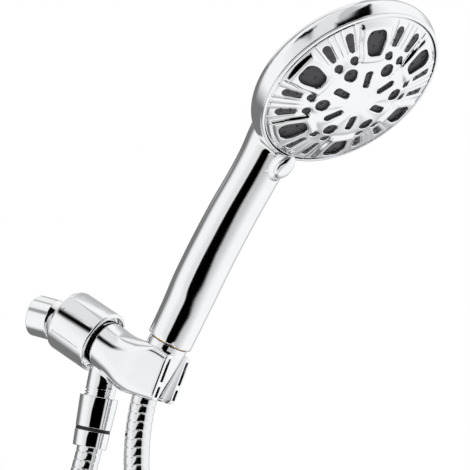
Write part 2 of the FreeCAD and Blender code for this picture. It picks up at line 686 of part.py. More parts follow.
def handle_spigot():
    """Brass spigot moulded into the foot of the handle, with the male thread for the cone nut."""
    return turned([
        (5.0, -SPIGOT_THREAD_LEN), (THREAD_R, -SPIGOT_THREAD_LEN, EDGE), (THREAD_R, 0.0),
        (HANDLE_R - SHELL_WALL - FIT, 0.0), (HANDLE_R - SHELL_WALL - FIT, SPIGOT_PLUG_LEN - 0.1),
        (WATER_TUBE_R + FIT, SPIGOT_PLUG_LEN - 0.1), (WATER_TUBE_R + FIT, 4.0), (5.0, 4.0)])


def flow_restrictor():
    """Plastic disc that limits the flow, in the bore of the spigot."""
    body = rod(5.0 - FIT, -6.0, -3.0)
    return body.cut([rod(1.0, -7.0, 0.0)] + around(rod(0.6, -7.0, 0.0, 3.0, 0), 6))


def handle_water_tube():
    """Plastic tube that carries the water from the spigot to the valve body."""
    tube = ring(WATER_TUBE_R - WATER_TUBE_WALL, WATER_TUBE_R, 4.0, 4.0 + WATER_TUBE_LEN)
    for z in (7.0, 2.0 + WATER_TUBE_LEN):
        tube = tube.cut(ring(WATER_TUBE_R - 1.0, WATER_TUBE_R + 1, z - 1.0, z + 1.0))
    return tube


def tube_orings():
    """Two O-rings in the grooves of the water tube."""
    rings = []
    for z in (7.0, 2.0 + WATER_TUBE_LEN):
        rings.append(ring(WATER_TUBE_R - 1.0, WATER_TUBE_R + FIT, z - 0.9, z + 0.9))
    return Part.makeCompound(rings)


# ---------------------------------------------------------------- spray engine, head frame
def clicks(shape):
    """Copies of a shape, one for each click of the selector, the shape itself among them."""
    copies = []
    for i in range(FIRST_CLICK, FIRST_CLICK + SPRAYS):
        copy = shape.copy()
        copy.rotate(Vector(0, 0, 0), Vector(0, 0, 1), CLICK_ANGLE * i)
        copies.append(copy)
    return copies


def valve_body():
    """Fixed half of the spray engine: a plate with one port, a socket for its spring, and the inlet."""
    back = VALVE_TOP - VALVE_THICK
    plate = rod(VALVE_R, back, VALVE_TOP)
    hub = rod(HUB_R, back - 5.0, VALVE_TOP + 0.8)
    port = rod(PORT_R + 2.0, back - 4.0, VALVE_TOP, -PORT_RADIUS, 0)
    detent = rod(DETENT_BALL_R + 1.6, back - 3.0, VALVE_TOP, DETENT_RADIUS, 0)
    # inlet socket round the top of the water tube
    top = 4.0 + WATER_TUBE_LEN
    socket = rod(WATER_TUBE_R + 1.6, top - 7.0, top + 6.0)
    socket = put(socket, HANDSET_FROM_HEAD)
    behind = rod(RIM_R, -RIM_R, VALVE_TOP)
    socket = socket.common(behind)
    body = fuse([plate, hub, port, detent, socket])
    tube_hole = put(rod(WATER_TUBE_R + FIT, top - 8.0, top + 0.1), HANDSET_FROM_HEAD)
    water = put(rod(WATER_TUBE_R - WATER_TUBE_WALL, top - 1.0, top + 4.5), HANDSET_FROM_HEAD)
    cuts = [tube_hole, water, rod(SCREW_R - 0.2, back - 6.0, VALVE_TOP + 2),
            rod(PORT_R, back - 2.5, VALVE_TOP + 1, -PORT_RADIUS, 0),
            rod(DETENT_BALL_R + FIT, back - 1.5, VALVE_TOP + 1, DETENT_RADIUS, 0)]
    cuts += around(rod(SCREW_R - 0.4, back - 1, VALVE_TOP + 1, BODY_SCREW_RADIUS, 0), 4, 45)
    groove = ring(ORING_RADIUS - 1.3, ORING_RADIUS + 1.3, VALVE_TOP - 1.2, VALVE_TOP + 1)
    return body.cut(cuts).cut(groove)


def diverter_disc():
    """Moving half of the engine: a plate with a port for each spray, a rim and chamber walls."""
    low = DISC_TOP - DISC_THICK
    plate = rod(DISC_R, low, DISC_TOP)
    hub = rod(HUB_R, VALVE_TOP + 0.8 + SEAT, DISC_TOP + 2.0)
    walls = ring(20.0, 21.4, DISC_TOP, DISC_TOP + 5.0)
    body = fuse([plate, hub, walls])
    cuts = clicks(rod(PORT_R - 0.8, low - 1, DISC_TOP + 1, -PORT_RADIUS, 0))
    cuts += clicks(rod(1.6, low - 1, low + 0.8, DETENT_RADIUS, 0))
    cuts += around(rod(FACE_SCREW_HOLE, low - 1, DISC_TOP + 1, FACE_SCREW_RADIUS, 0), 3)
    cuts += around(rod(FACE_SCREW_HEAD + FIT, low - 1, low + 1.5, FACE_SCREW_RADIUS, 0), 3)
    cuts.append(rod(SCREW_R + FIT, low - 4, DISC_TOP + 4))
    return body.cut(cuts)


def diverter_oring():
    """Large O-ring that seals the moving half on the fixed half."""
    return ring(ORING_RADIUS - ORING_R, ORING_RADIUS + ORING_R, VALVE_TOP - 1.2, DISC_TOP - DISC_THICK - FIT)


def port_seal():
    """Rubber bush that the spring presses against the moving disc."""
    return ring(1.8, PORT_R - FIT, VALVE_TOP - 3.0, DISC_TOP - DISC_THICK - FIT).translated(
        Vector(-PORT_RADIUS, 0, 0))


def port_seal_spring():
    """Spring under the port seal."""
    back = VALVE_TOP - VALVE_THICK - 2.5
    return spring(2.9, 0.35, back, VALVE_TOP - 3.0, 2.5, -PORT_RADIUS, 0)


def detent_ball():
    """Steel ball that clicks from one spray to the next."""
    return Part.makeSphere(DETENT_BALL_R, Vector(DETENT_RADIUS, 0, DISC_TOP - DISC_THICK - DETENT_BALL_R - FIT))


def detent_spring():
    """Spring under the detent ball."""
    back = VALVE_TOP - VALVE_THICK - 1.5
    top = DISC_TOP - DISC_THICK - 2 * DETENT_BALL_R
    return spring(1.4, 0.25, back, top, 3.0, DETENT_RADIUS, 0)


def centre_screw():
    """Steel screw that holds the moving half on the fixed half."""
    seat = DISC_TOP + 2.0 + 1.0
    head = rod(SCREW_HEAD_R, seat, seat + 2.2)
    shoulder = rod(SCREW_R, VALVE_TOP + 0.8, seat)
    thread = rod(SCREW_R - 0.2, VALVE_TOP - VALVE_THICK - 4.0, VALVE_TOP + 0.8)
    cross = block(-2.6, 2.6, -0.5, 0.5, seat + 1.2, seat + 3)
    return fuse([head, shoulder, thread]).cut([cross, around(cross, 1, 90)[0]])


def centre_washer():
    """Washer under the head of the centre screw."""
    seat = DISC_TOP + 2.0
    return ring(SCREW_R + FIT, HUB_R - 1.0, seat + FIT, seat + 1.0)


def face_screws():
    """Three screws from behind, which hold the face plate on the moving disc."""
    low = DISC_TOP - DISC_THICK
    shank = FACE_SCREW_HOLE - 0.1
    screw = fuse([rod(FACE_SCREW_HEAD, low + 0.2, low + 1.5), rod(shank, low + 1.4, DISC_TOP + FACE_SCREW_LEN)])
    screw.translate(Vector(FACE_SCREW_RADIUS, 0, 0))
    return Part.makeCompound(around(screw, 3))


def valve_body_screws():
    """Four screws that hold the valve body on the bosses of the shell."""
    end = VALVE_TOP - VALVE_THICK - BODY_SCREW_LEN
    screw = fuse([rod(2.6, VALVE_TOP, VALVE_TOP + 1.5), rod(BODY_SCREW_R, end, VALVE_TOP)])
    screw.translate(Vector(BODY_SCREW_RADIUS, 0, 0))
    return Part.makeCompound(around(screw, 4, 45))


# ---------------------------------------------------------------- spray face, head frame
def dome_height(radius):
    """Height of the outer face of the plate over the seam plane."""
    return DOME_TOP - (DOME_TOP - DOME_EDGE) * (radius / (SEAM_R - 1.0)) ** 2


def dome_solid(lower, radius):
    """Solid under the dome surface, lowered by the given amount, down to the seam plane."""
    count = 5
    points = [Vector(radius * i / count, 0, dome_height(radius * i / count) - lower) for i in range(count + 1)]
    curve = Part.BSplineCurve()
    curve.interpolate(points)
    base = -12.0
    edges = [curve.toShape(),
             Part.LineSegment(points[-1], Vector(radius, 0, base)).toShape(),
             Part.LineSegment(Vector(radius, 0, base), Vector(0, 0, base)).toShape(),
             Part.LineSegment(Vector(0, 0, base), points[0]).toShape()]
    return Part.Face(Part.Wire(edges)).revolve(Vector(0, 0, 0), Vector(0, 0, 1), 360)


def big_window(grow=0.0):
    """Plan of a large window, a rounded wedge."""
    g = grow
    return [(34.2 - g, -4.4 - g, 3.6 + g), (34.2 - g, 4.4 + g, 3.6 + g), (45.4, 7.2 + g, 7.5 + g),
            (50.5 + g, 4.9 + g, 4.0 + g), (50.5 + g, -4.9 - g, 4.0 + g), (45.4, -7.2 - g, 7.5 + g)]


ROUNDED = 0.9                  # corner radius of a slot over its half width


def capsule(r0, w0, r1, w1):
    """Plan of a slot along a radius with round ends: start, half width, end, half width."""
    return [(r0, -w0, w0 * ROUNDED), (r0, w0, w0 * ROUNDED), (r1, w1, w1 * ROUNDED), (r1, -w1, w1 * ROUNDED)]


SLOT_OFF = 8.9                 # outer slots and small holes, from the line between two large windows
SLOT_PLAN = capsule(39.2, 1.7, 51.8, 2.8)
INNER_PLAN = capsule(11.5, 2.3, 23.6, 2.6)
MEDIUM_HOLE = (25.1, 4.4)
SMALL_HOLE = (33.5, 2.65)


def window_cuts():
    """Every window of the face plate as a prism through it. X points away from the handle."""
    lo, hi = -14.0, 16.0
    cuts = []
    for i in range(SPOKES):
        spoke = 30.0 + i * 360.0 / SPOKES
        between = spoke + 180.0 / SPOKES
        rows = [(slab(big_window(), lo, hi), spoke), (slab(INNER_PLAN, lo, hi), spoke),
                (rod(MEDIUM_HOLE[1], lo, hi, MEDIUM_HOLE[0], 0), between)]
        for off in (-SLOT_OFF, SLOT_OFF):
            rows.append((slab(SLOT_PLAN, lo, hi), between + off))
            rows.append((rod(SMALL_HOLE[1], lo, hi, SMALL_HOLE[0], 0), between + off))
        for shape, angle in rows:
            shape.rotate(Vector(0, 0, 0), Vector(0, 0, 1), angle)
            cuts.append(shape)
    return cuts


def face_plate():
    """Chromed dome with 42 windows, raised rims round the six large ones, and a skirt."""
    outer = SEAM_R - 0.4
    shell = dome_solid(0.0, outer).cut(dome_solid(PLATE_THICK, outer - PLATE_THICK))
    shell = shell.cut(rod(SEAM_R, -20.0, DISC_TOP + SEAT))
    raised = dome_solid(-PAD_PROUD, outer).cut(dome_solid(0.5, SEAM_R))
    pads = []
    for i in range(SPOKES):
        pad = slab(big_window(PAD_W), -2.0, 18.0)
        pad.rotate(Vector(0, 0, 0), Vector(0, 0, 1), 30.0 + i * 360.0 / SPOKES)
        pads.append(pad.common(raised))
    bosses = around(rod(BOSS_R, DISC_TOP + SEAT, 9.0, FACE_SCREW_RADIUS, 0), 3)
    under = dome_solid(PLATE_THICK / 2, SEAM_R)
    body = fuse([shell] + pads + [b.common(under) for b in bosses])
    pilots = around(rod(FACE_SCREW_HOLE - 0.05, DISC_TOP - 1, DISC_TOP + FACE_SCREW_LEN + 0.1, FACE_SCREW_RADIUS, 0), 3)
    return body.cut(window_cuts() + pilots + [lever_body(0.02)])


def nozzle_places():
    """Radius and angle of every nozzle, in the windows of the plate."""
    places = []
    for i in range(SPOKES):
        spoke = 30.0 + i * 360.0 / SPOKES
        between = spoke + 180.0 / SPOKES
        places += [(47.2, spoke - 3.2), (47.2, spoke + 3.2), (39.0, spoke), (20.6, spoke), (14.5, spoke),
                   (MEDIUM_HOLE[0], between)]
        for off in (-SLOT_OFF, SLOT_OFF):
            places += [(48.3, between + off), (42.8, between + off), (SMALL_HOLE[0], between + off)]
    return places


def nozzle_sheet():
    """Dark rubber sheet under the plate with the nozzles moulded on."""
    low = PLATE_THICK + SHEET_GAP
    radius = SEAM_R - PLATE_THICK - 1.2
    sheet = dome_solid(low, radius).cut(dome_solid(low + SHEET_THICK, radius + 1))
    nubs = []
    for r, angle in nozzle_places():
        z = dome_height(r) - low
        nub = Part.makeCone(NOZZLE_R + 0.25, NOZZLE_R - 0.15, NOZZLE_TALL + 0.5, Vector(r, 0, z - 0.5))
        nub.rotate(Vector(0, 0, 0), Vector(0, 0, 1), angle)
        nubs.append(nub)
    holes = around(rod(BOSS_R + 0.2, -20.0, 20.0, FACE_SCREW_RADIUS, 0), 3)
    return fuse([sheet] + nubs).cut(holes)


def lever_body(grow):
    """Teardrop tongue that rises from the edge of the face and reaches out over the rim, larger by a clearance."""
    root, wide, tip = LEVER_ROOT - grow, LEVER_WIDEST, LEVER_TIP + grow
    w, wr = LEVER_HALF_W + grow, LEVER_ROOT_HALF_W + grow
    plan = slab([(-root, -wr, 0.8), (-root - 3.0, -wr, 4.0), (-wide, -w, 7.0), (-tip, -w * 0.8, w * 0.7),
                 (-tip, w * 0.8, w * 0.7), (-wide, w, 7.0), (-root - 3.0, wr, 4.0), (-root, wr, 0.8)], -8.0, 14.0)
    low, under, top = LEVER_OVER_RIM - grow, LEVER_UNDER - grow, LEVER_TOP + grow
    side = outline([(-root, LEVER_ROOT_TOP + grow), (-root, low), (-RIM_R - 0.8, low, 2.0), (-tip + 1.0, under, 1.0),
                    (-tip, under + 1.2, 0.8), (-tip, top - 1.6, 1.6), (-tip + 3.4, top, 2.5), (-wide + 3.0, top - 0.6, 6.0)])
    body = Part.Face(side).extrude(Vector(0, 40, 0))
    body.translate(Vector(0, -20, 0))
    return plan.common(body)


def selector_lever():
    """Teardrop tongue on the edge of the face, on the side of the handle, seated in a notch of the plate."""
    return lever_body(0.0)


def rim_trim_ring():
    """Thin bright lip between the shell and the face."""
    inner = SEAM_R + SEAM_GAP / 2
    return turned([(inner, -2.1), (inner + TRIM_W, -2.1), (inner + TRIM_W, TRIM_PROUD, 0.4), (inner, TRIM_PROUD, 0.4)])


# ---------------------------------------------------------------- hose
def hose_tube(points, label):
    """Hose along straight runs joined by tangent arcs, each as large as its two runs allow."""
    p = [Vector(*q) for q in points]
    edges = []
    here = p[0]
    length = 0.0
    for i in range(1, len(p) - 1):
        a = (p[i - 1] - p[i])
        b = (p[i + 1] - p[i])
        run = min(a.Length, b.Length)
        a.normalize()
        b.normalize()
        half = a.getAngle(b) / 2
        reach = 0.45 * run
        radius = reach * math.tan(half)
        start, end = p[i] + a * reach, p[i] + b * reach
        top = p[i] + (a + b).normalize() * (radius / math.sin(half) - radius)
        edges.append(Part.LineSegment(here, start).toShape())
        edges.append(Part.Arc(start, top, end).toShape())
        length += edges[-1].Length + edges[-2].Length
        print("  %s arc %d radius %.0f turn %.0f" % (label, i, radius, 180 - math.degrees(2 * half)))
        here = end
    edges.append(Part.LineSegment(here, p[-1]).toShape())
    length += edges[-1].Length
    path = Part.Wire(edges)
    start_dir = (p[1] - p[0]).normalize()
    section = Part.Wire(Part.Circle(p[0], start_dir, HOSE_R).toShape())
    tube = path.makePipeShell([section], True, False)
    print("  %s length %.0f volume over section*length %.4f" % (label, length, tube.Volume / (math.pi * HOSE_R ** 2 * length)))
    return tube


hose_low_start = spout_root + spout_dir * (FLANGE_AT + FERRULE_FLANGE)
cradle_axis = ball + cradle_fwd * CRADLE_REACH
hose_up_start = cradle_axis + cradle_up * (UPPER_FLANGE_AT - FERRULE_FLANGE)


COIL_HALF = (COIL_TURNS + 1.0) * COIL_PITCH / 2
LOW_END = (-21.5, -22.0, -217.0)
UP_END = (113.5, 22.0, -217.0)


def lower_run():
    """Hose from the nut on the spout down to the coil."""
    start = tuple(hose_low_start)
    first = tuple(hose_low_start + spout_dir * 42.0)
    return hose_tube([start, first, (2.0, -23.0, -176.0), LOW_END], "lower")


def upper_run():
    """Hose from the cone nut in the cradle down to the coil."""
    start = tuple(hose_up_start)
    first = tuple(hose_up_start - cradle_up * 26.0)
    return hose_tube([start, first, (64.5, 0.0, -82.0), (62.8, 1.8, -116.0), (72.8, 8.4, -155.5),
                      (100.6, 21.0, -194.5), UP_END], "upper")


def hose_coil():
    """The put-away turns as one closed ring."""
    r = COIL_R
    w = HOSE_R + 0.3
    body = turned([(r - w, -COIL_HALF, 4), (r + w, -COIL_HALF, 4), (r + w, COIL_HALF, 4), (r - w, COIL_HALF, 4)])
    return body


def coil_ties():
    """Three straps that hold the turns together."""
    w = HOSE_R + 0.3 + SEAT
    t = TIE_THICK
    half = COIL_HALF + SEAT
    near = math.sqrt((COIL_R - w) ** 2 - (TIE_W / 2) ** 2)      # the ring curves across the width of the strap
    straps = []
    for angle in (90.0, 210.0, 330.0):
        hole = block(near, COIL_R + w, -TIE_W, TIE_W, -half, half)
        strap = block(near - t, COIL_R + w + t, -TIE_W / 2, TIE_W / 2, -half - t, half + t).cut(hole)
        strap.rotate(Vector(0, 0, 0), Vector(0, 0, 1), angle)
        straps.append(strap)
    return Part.makeCompound(straps)


def main():
    export("ball_fitting", ball_fitting(), INLET)
    export("inlet_filter_washer", inlet_filter_washer(), INLET)
    export("rear_ball_seat", rear_ball_seat(), COLLAR)
    export("front_ball_seat", front_ball_seat(), COLLAR)
    export("collar_nut", collar_nut(), COLLAR)
    export("bracket_body", bracket_body())
    export("outlet_insert", outlet_insert(), SPOUT)
    export("check_valve", check_valve(), SPOUT)
    export("hose_nut", hose_nut(), SPOUT)
    export("nut_band", nut_band(), SPOUT)
    export("nut_sleeve", nut_sleeve(), SPOUT)
    export("hose_washer", hose_washer(), SPOUT)
    export("lower_ferrule", ferrule(FLANGE_AT, FERRULE_END, True), SPOUT)
    export("cone_nut", cone_nut(), CRADLE)
    export("cone_washer", cone_washer(), CRADLE)
    export("upper_ferrule", ferrule(UPPER_FLANGE_AT, UPPER_FERRULE_END, False), CRADLE)
    export("handset_shell", handset_shell(), HANDSET)
    export("handle_spigot", handle_spigot(), HANDSET)
    export("flow_restrictor", flow_restrictor(), HANDSET)
    export("handle_water_tube", handle_water_tube(), HANDSET)
    export("tube_orings", tube_orings(), HANDSET)
    export("valve_body", valve_body(), HEAD)
    export("diverter_disc", diverter_disc(), HEAD)
    export("diverter_oring", diverter_oring(), HEAD)
    export("port_seal", port_seal(), HEAD)
    export("port_seal_spring", port_seal_spring(), HEAD)
    export("detent_ball", detent_ball(), HEAD)
    export("detent_spring", detent_spring(), HEAD)
    export("centre_screw", centre_screw(), HEAD)
    export("centre_washer", centre_washer(), HEAD)
    export("face_screws", face_screws(), HEAD)
    export("valve_body_screws", valve_body_screws(), HEAD)
    export("face_plate", face_plate(), HEAD)
    export("nozzle_sheet", nozzle_sheet(), HEAD)
    export("selector_lever", selector_lever(), HEAD)
    export("rim_trim_ring", rim_trim_ring(), HEAD)
    export("slip_ring", slip_ring(), COLLAR)
    export("hose_lower_run", lower_run())
    export("hose_upper_run", upper_run())
    export("hose_coil", hose_coil(), COIL)
    export("coil_ties", coil_ties(), COIL)
    print("hose starts", hose_low_start, hose_up_start, "ball", ball)


main()
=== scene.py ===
# %% [markdown]
# # A handheld shower head, parked in its bracket
# The frame was built first as solid parts, in metres. This file dresses it: it plates the metal, moulds the soft
# edges that real plated plastic has, winds the ribbed hose along its route, and lights it like a product before a
# white wall. The load comes first, because every piece takes its place from it.

# %% Load the frame
import json
import math

import bmesh
import bpy
from mathutils import Matrix, Vector
from mathutils.geometry import delaunay_2d_cdt

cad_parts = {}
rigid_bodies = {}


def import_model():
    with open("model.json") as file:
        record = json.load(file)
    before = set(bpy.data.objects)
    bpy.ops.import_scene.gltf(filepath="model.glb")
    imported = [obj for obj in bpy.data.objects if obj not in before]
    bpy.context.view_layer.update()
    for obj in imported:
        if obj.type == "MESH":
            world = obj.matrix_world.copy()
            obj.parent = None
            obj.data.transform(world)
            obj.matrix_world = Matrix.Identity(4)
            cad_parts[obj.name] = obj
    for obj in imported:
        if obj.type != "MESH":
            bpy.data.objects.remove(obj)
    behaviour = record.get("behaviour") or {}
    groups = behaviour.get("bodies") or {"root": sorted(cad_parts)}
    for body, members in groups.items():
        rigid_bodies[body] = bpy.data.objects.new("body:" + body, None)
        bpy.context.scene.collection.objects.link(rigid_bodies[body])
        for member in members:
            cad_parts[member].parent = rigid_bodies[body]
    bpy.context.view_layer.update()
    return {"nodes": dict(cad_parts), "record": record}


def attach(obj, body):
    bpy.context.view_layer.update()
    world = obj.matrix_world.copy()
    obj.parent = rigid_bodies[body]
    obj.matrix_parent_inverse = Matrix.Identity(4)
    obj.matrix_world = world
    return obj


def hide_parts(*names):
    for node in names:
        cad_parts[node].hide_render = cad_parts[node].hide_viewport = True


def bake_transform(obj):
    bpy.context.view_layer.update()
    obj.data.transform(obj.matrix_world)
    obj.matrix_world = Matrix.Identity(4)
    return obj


bpy.ops.object.select_all(action="SELECT")
bpy.ops.object.delete()
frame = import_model()
nodes = frame["nodes"]

# %% [markdown]
# ## Small tools
# Lengths are thought of in millimetres and Blender wants metres, so one constant turns one into the other. Colours
# are written as they look on a screen and turned to linear light once, here.

# %% Units, colours and frames
MM = 0.001


def hex_colour(code, share=1.0):
    """Linear colour of an sRGB hex value, or a share of its light."""
    parts = [int(code[i:i + 2], 16) / 255 for i in (1, 3, 5)]
    return [(p / 12.92 if p <= 0.04045 else ((p + 0.055) / 1.055) ** 2.4) * share for p in parts] + [1.0]


def placed(origin, z_dir, x_dir):
    """Matrix of a local frame, in metres, from its origin, its Z and roughly its X."""
    z = Vector(z_dir).normalized()
    y = z.cross(Vector(x_dir)).normalized()
    x = y.cross(z)
    place = Matrix((x, y, z)).transposed().to_4x4()
    place.translation = Vector(origin)
    return place


# %% Places that the frame's own joints give
record = frame["record"]
joints = {j["name"]: j for j in record["behaviour"]["joints"]}
foot = Vector(joints["handset_turn"]["pos_m"])
cradle_up = Vector(joints["hose_end_lift"]["axis"]).normalized()
spout_root = Vector(joints["hose_nut_turn"]["pos_m"])
spout_down = Vector(joints["hose_nut_turn"]["axis"]).normalized()
ball_centre = Vector(joints["bracket_spin"]["pos_m"])
face_centre = Vector(joints["spray_select"]["pos_m"])
face_out = Vector(joints["spray_select"]["axis"]).normalized()
HEAD = placed(face_centre, face_out, face_centre - foot)
HANDSET = placed(foot, cradle_up, face_centre - foot)
COLLAR = placed(ball_centre, joints["bracket_spin"]["axis"], (0, 0, 1))
SPOUT = placed(spout_root, spout_down, cradle_up)
ARM = placed(ball_centre, cradle_up, foot - ball_centre)
print("face looks along", tuple(round(v, 3) for v in face_out))

# %% [markdown]
# ## Ways of making a mesh
# Turned and moulded parts are drawn as outlines: an outline is spun about an axis, or a row of outlines is skinned.
# Holes are then cut with closed meshes, and a voxel skin rolls the creases over where a mould would have done so.

# %% Mesh helpers


def only(obj):
    """Make one object the only selected one, and active."""
    if bpy.context.object and bpy.context.object.mode != "OBJECT":
        bpy.ops.object.mode_set(mode="OBJECT")
    bpy.ops.object.select_all(action="DESELECT")
    obj.select_set(True)
    bpy.context.view_layer.objects.active = obj


def apply_modifier(obj, kind, **settings):
    """Add a modifier with its settings and apply it."""
    only(obj)
    modifier = obj.modifiers.new(kind.lower(), kind)
    for key, value in settings.items():
        setattr(modifier, key, value)
    bpy.ops.object.modifier_apply(modifier=modifier.name)


def rounded(points, steps=8):
    """Closed outline through the points (x, y, corner radius), with every corner drawn as an arc."""
    line = []
    for i, (x, y, radius) in enumerate(points):
        here = Vector((x, y))
        before = (Vector(points[i - 1][:2]) - here).normalized()
        after = (Vector(points[(i + 1) % len(points)][:2]) - here).normalized()
        if radius <= 0:
            line.append(here)
            continue
        half = before.angle(after) / 2
        centre = here + (before + after).normalized() * (radius / math.sin(half))
        first = here + before * (radius / math.tan(half)) - centre
        last = here + after * (radius / math.tan(half)) - centre
        turn = math.atan2(first.x * last.y - first.y * last.x, first.dot(last))
        for k in range(steps + 1):
            line.append(centre + Matrix.Rotation(turn * k / steps, 2) @ first)
    return line


def new_object(name, verts, edges, faces):
    """Mesh object from points in millimetres."""
    mesh = bpy.data.meshes.new(name)
    mesh.from_pydata([Vector(v) * MM for v in verts], edges, faces)
    obj = bpy.data.objects.new(name, mesh)
    bpy.context.scene.collection.objects.link(obj)
    return obj


def scaled(point, sizes):
    """A point stretched by one size along each axis."""
    return Vector((point.x * sizes.x, point.y * sizes.y, point.z * sizes.z))


def settled(obj, place):
    """Put a closed mesh in its place and turn its faces outwards."""
    obj.data.transform(place)
    only(obj)
    bpy.ops.object.mode_set(mode="EDIT")
    bpy.ops.mesh.select_all(action="SELECT")
    bpy.ops.mesh.remove_doubles(threshold=0.002 * MM)
    bpy.ops.mesh.normals_make_consistent(inside=False)
    bpy.ops.object.mode_set(mode="OBJECT")
    return obj


def turned_piece(name, line, place, steps=256):
    """Closed outline of (radius, height) spun about Z."""
    count = len(line)
    obj = new_object(name, [(p[0], 0, p[1]) for p in line], [(i, (i + 1) % count) for i in range(count)], [])
    apply_modifier(obj, "SCREW", angle=2 * math.pi, steps=steps, render_steps=steps, use_merge_vertices=True,
                   merge_threshold=0.001 * MM)
    return settled(obj, place)


def joined_with(obj, other, operation):
    """Cut one closed mesh with another, or add it, and drop the other."""
    apply_modifier(obj, "BOOLEAN", object=other, operation=operation, solver="MANIFOLD")
    bpy.data.objects.remove(other)
    return obj


def smooth_faces(obj, degrees=35):
    """Smooth shading that keeps the edges sharper than the angle."""
    only(obj)
    bpy.ops.object.shade_smooth_by_angle(angle=math.radians(degrees))


def recast(obj, grain, rounds):
    """Give a part the softened edges of a moulding: one even skin of small faces, smoothed."""
    apply_modifier(obj, "REMESH", mode="VOXEL", voxel_size=grain * MM, use_smooth_shade=True)
    apply_modifier(obj, "SMOOTH", factor=0.5, iterations=rounds)
    only(obj)
    bpy.ops.object.shade_smooth()
    print(obj.name, len(obj.data.polygons), "faces")


def dress(obj, body, slot_name, material, *replaced):
    """Hang a new piece on the body that it rides on, give it its finish and hide the parts that it stands for."""
    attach(obj, body)
    if replaced:
        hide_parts(*replaced)
    obj.data.materials.clear()
    obj.data.materials.append(material)


# %% [markdown]
# ## Materials
# A material is a small graph of nodes. Each of these starts from a Principled shader and reads Object coordinates,
# which are real metres here, so a pattern's size can be given in millimetres.

# %% Node helper


def add_node(owner, kind, inputs=None, **settings):
    """Add one node with its settings; an input takes a value, or the output socket that feeds it."""
    tree = owner.node_tree
    node = tree.nodes.new(kind)
    for key, value in settings.items():
        setattr(node, key, value)
    for key, value in (inputs or {}).items():
        if isinstance(value, bpy.types.NodeSocket):
            tree.links.new(value, node.inputs[key])
        else:
            node.inputs[key].default_value = value
    return node


FACTOR, COLOUR_A, COLOUR_B, COLOUR_OUT = 0, 6, 7, 2        # sockets of a Mix node that mixes colours
DARKER = 0.94


def new_finish(name, code, metallic, roughness, spread, pattern_mm, bump_mm):
    """A surface whose tint, roughness and height vary with a fine pattern of the given real size."""
    material = bpy.data.materials.new(name)
    material.use_nodes = True
    shader = material.node_tree.nodes["Principled BSDF"]
    shader.inputs["Metallic"].default_value = metallic
    place = add_node(material, "ShaderNodeTexCoord")
    grain = add_node(material, "ShaderNodeTexNoise",
                     {"Vector": place.outputs["Object"], "Scale": 1 / (pattern_mm * MM), "Detail": 3.0}).outputs["Fac"]
    tint = add_node(material, "ShaderNodeMix",
                    {FACTOR: grain, COLOUR_A: hex_colour(code), COLOUR_B: hex_colour(code, DARKER)}, data_type="RGBA")
    gloss = add_node(material, "ShaderNodeMapRange",
                     {"Value": grain, "From Min": 0.3, "From Max": 0.7,
                      "To Min": roughness - spread, "To Max": roughness + spread})
    bump = add_node(material, "ShaderNodeBump", {"Height": grain, "Strength": 1.0, "Distance": bump_mm * MM})
    links = material.node_tree.links
    links.new(tint.outputs[COLOUR_OUT], shader.inputs["Base Color"])
    links.new(gloss.outputs["Result"], shader.inputs["Roughness"])
    links.new(bump.outputs["Normal"], shader.inputs["Normal"])
    return material


# %% [markdown]
# Bright chrome is a skin of metal under a thousandth of a millimetre thick on copper and nickel. It takes the shape
# of what lies below, so it mirrors everything. On moulded plastic it has a very faint, slow ripple, on turned brass
# an even fainter one, and water marks vary its gloss a little. The patterns of the other finishes are the grain of
# their moulds or the marks of their tools; the finest ones are drawn coarser than they are, or they would not show.

# %% The finishes
# chrome on ABS: a mirror with the faint ripple of the moulding, and about the gloss of a tap
chrome_plastic = new_finish("chrome_on_abs", "#F6F7F9", 1.0, 0.07, 0.012, 14.0, 0.002)
# chrome on turned brass: the sharper mirror of the nuts
chrome_brass = new_finish("chrome_on_brass", "#F6F7F9", 1.0, 0.055, 0.01, 9.0, 0.001)
# rolled stainless strip of the hose: bright, but each rib is a little blurred by the rolling marks
hose_steel = new_finish("interlock_stainless", "#F1F2F4", 1.0, 0.09, 0.02, 1.5, 0.003)
# drawn stainless wire of springs and screws: greyer and duller, with marks of the die drawn coarse
spring_steel = new_finish("drawn_stainless", "#B9BBBF", 1.0, 0.25, 0.05, 0.6, 0.004)
# plain turned brass: warm, with a satin from the tool
turned_brass = new_finish("turned_brass", "#C8A25A", 1.0, 0.28, 0.06, 0.5, 0.006)
# silicone of the nozzles: dark grey and dull, with a fine mould grain
silicone = new_finish("moulded_silicone", "#48484C", 0.0, 0.5, 0.08, 0.8, 0.02)
# black rubber of seals, ties and the band on the nut: nearly black, with a little sheen
rubber = new_finish("black_rubber", "#161617", 0.0, 0.55, 0.08, 0.7, 0.02)
# natural acetal of the water ways: off-white and waxy
acetal = new_finish("white_acetal", "#E4E2DA", 0.0, 0.4, 0.05, 1.2, 0.01)
# unplated ABS of the inner parts: mid grey, with the light texture of its mould
grey_abs = new_finish("grey_abs", "#5C5E63", 0.0, 0.42, 0.06, 0.9, 0.015)
finishes = {"chrome_plastic": chrome_plastic, "chrome_brass": chrome_brass, "brass": turned_brass,
            "hose_steel": hose_steel, "spring_steel": spring_steel, "dark_silicone": silicone,
            "black_rubber": rubber, "white_plastic": acetal, "grey_plastic": grey_abs}
print("finishes", len(finishes))

# %% Finishes of the frame's own parts
for part in record["subparts"]:
    mesh = nodes[part["node"]].data
    mesh.materials.clear()
    mesh.materials.append(finishes[part["material_slot"]])

# %% [markdown]
# ## Camera
# The camera stands two metres away, a little below the bracket, and looks slightly up with a long lens, so that the
# handset shows its side and the face shows as an oval.

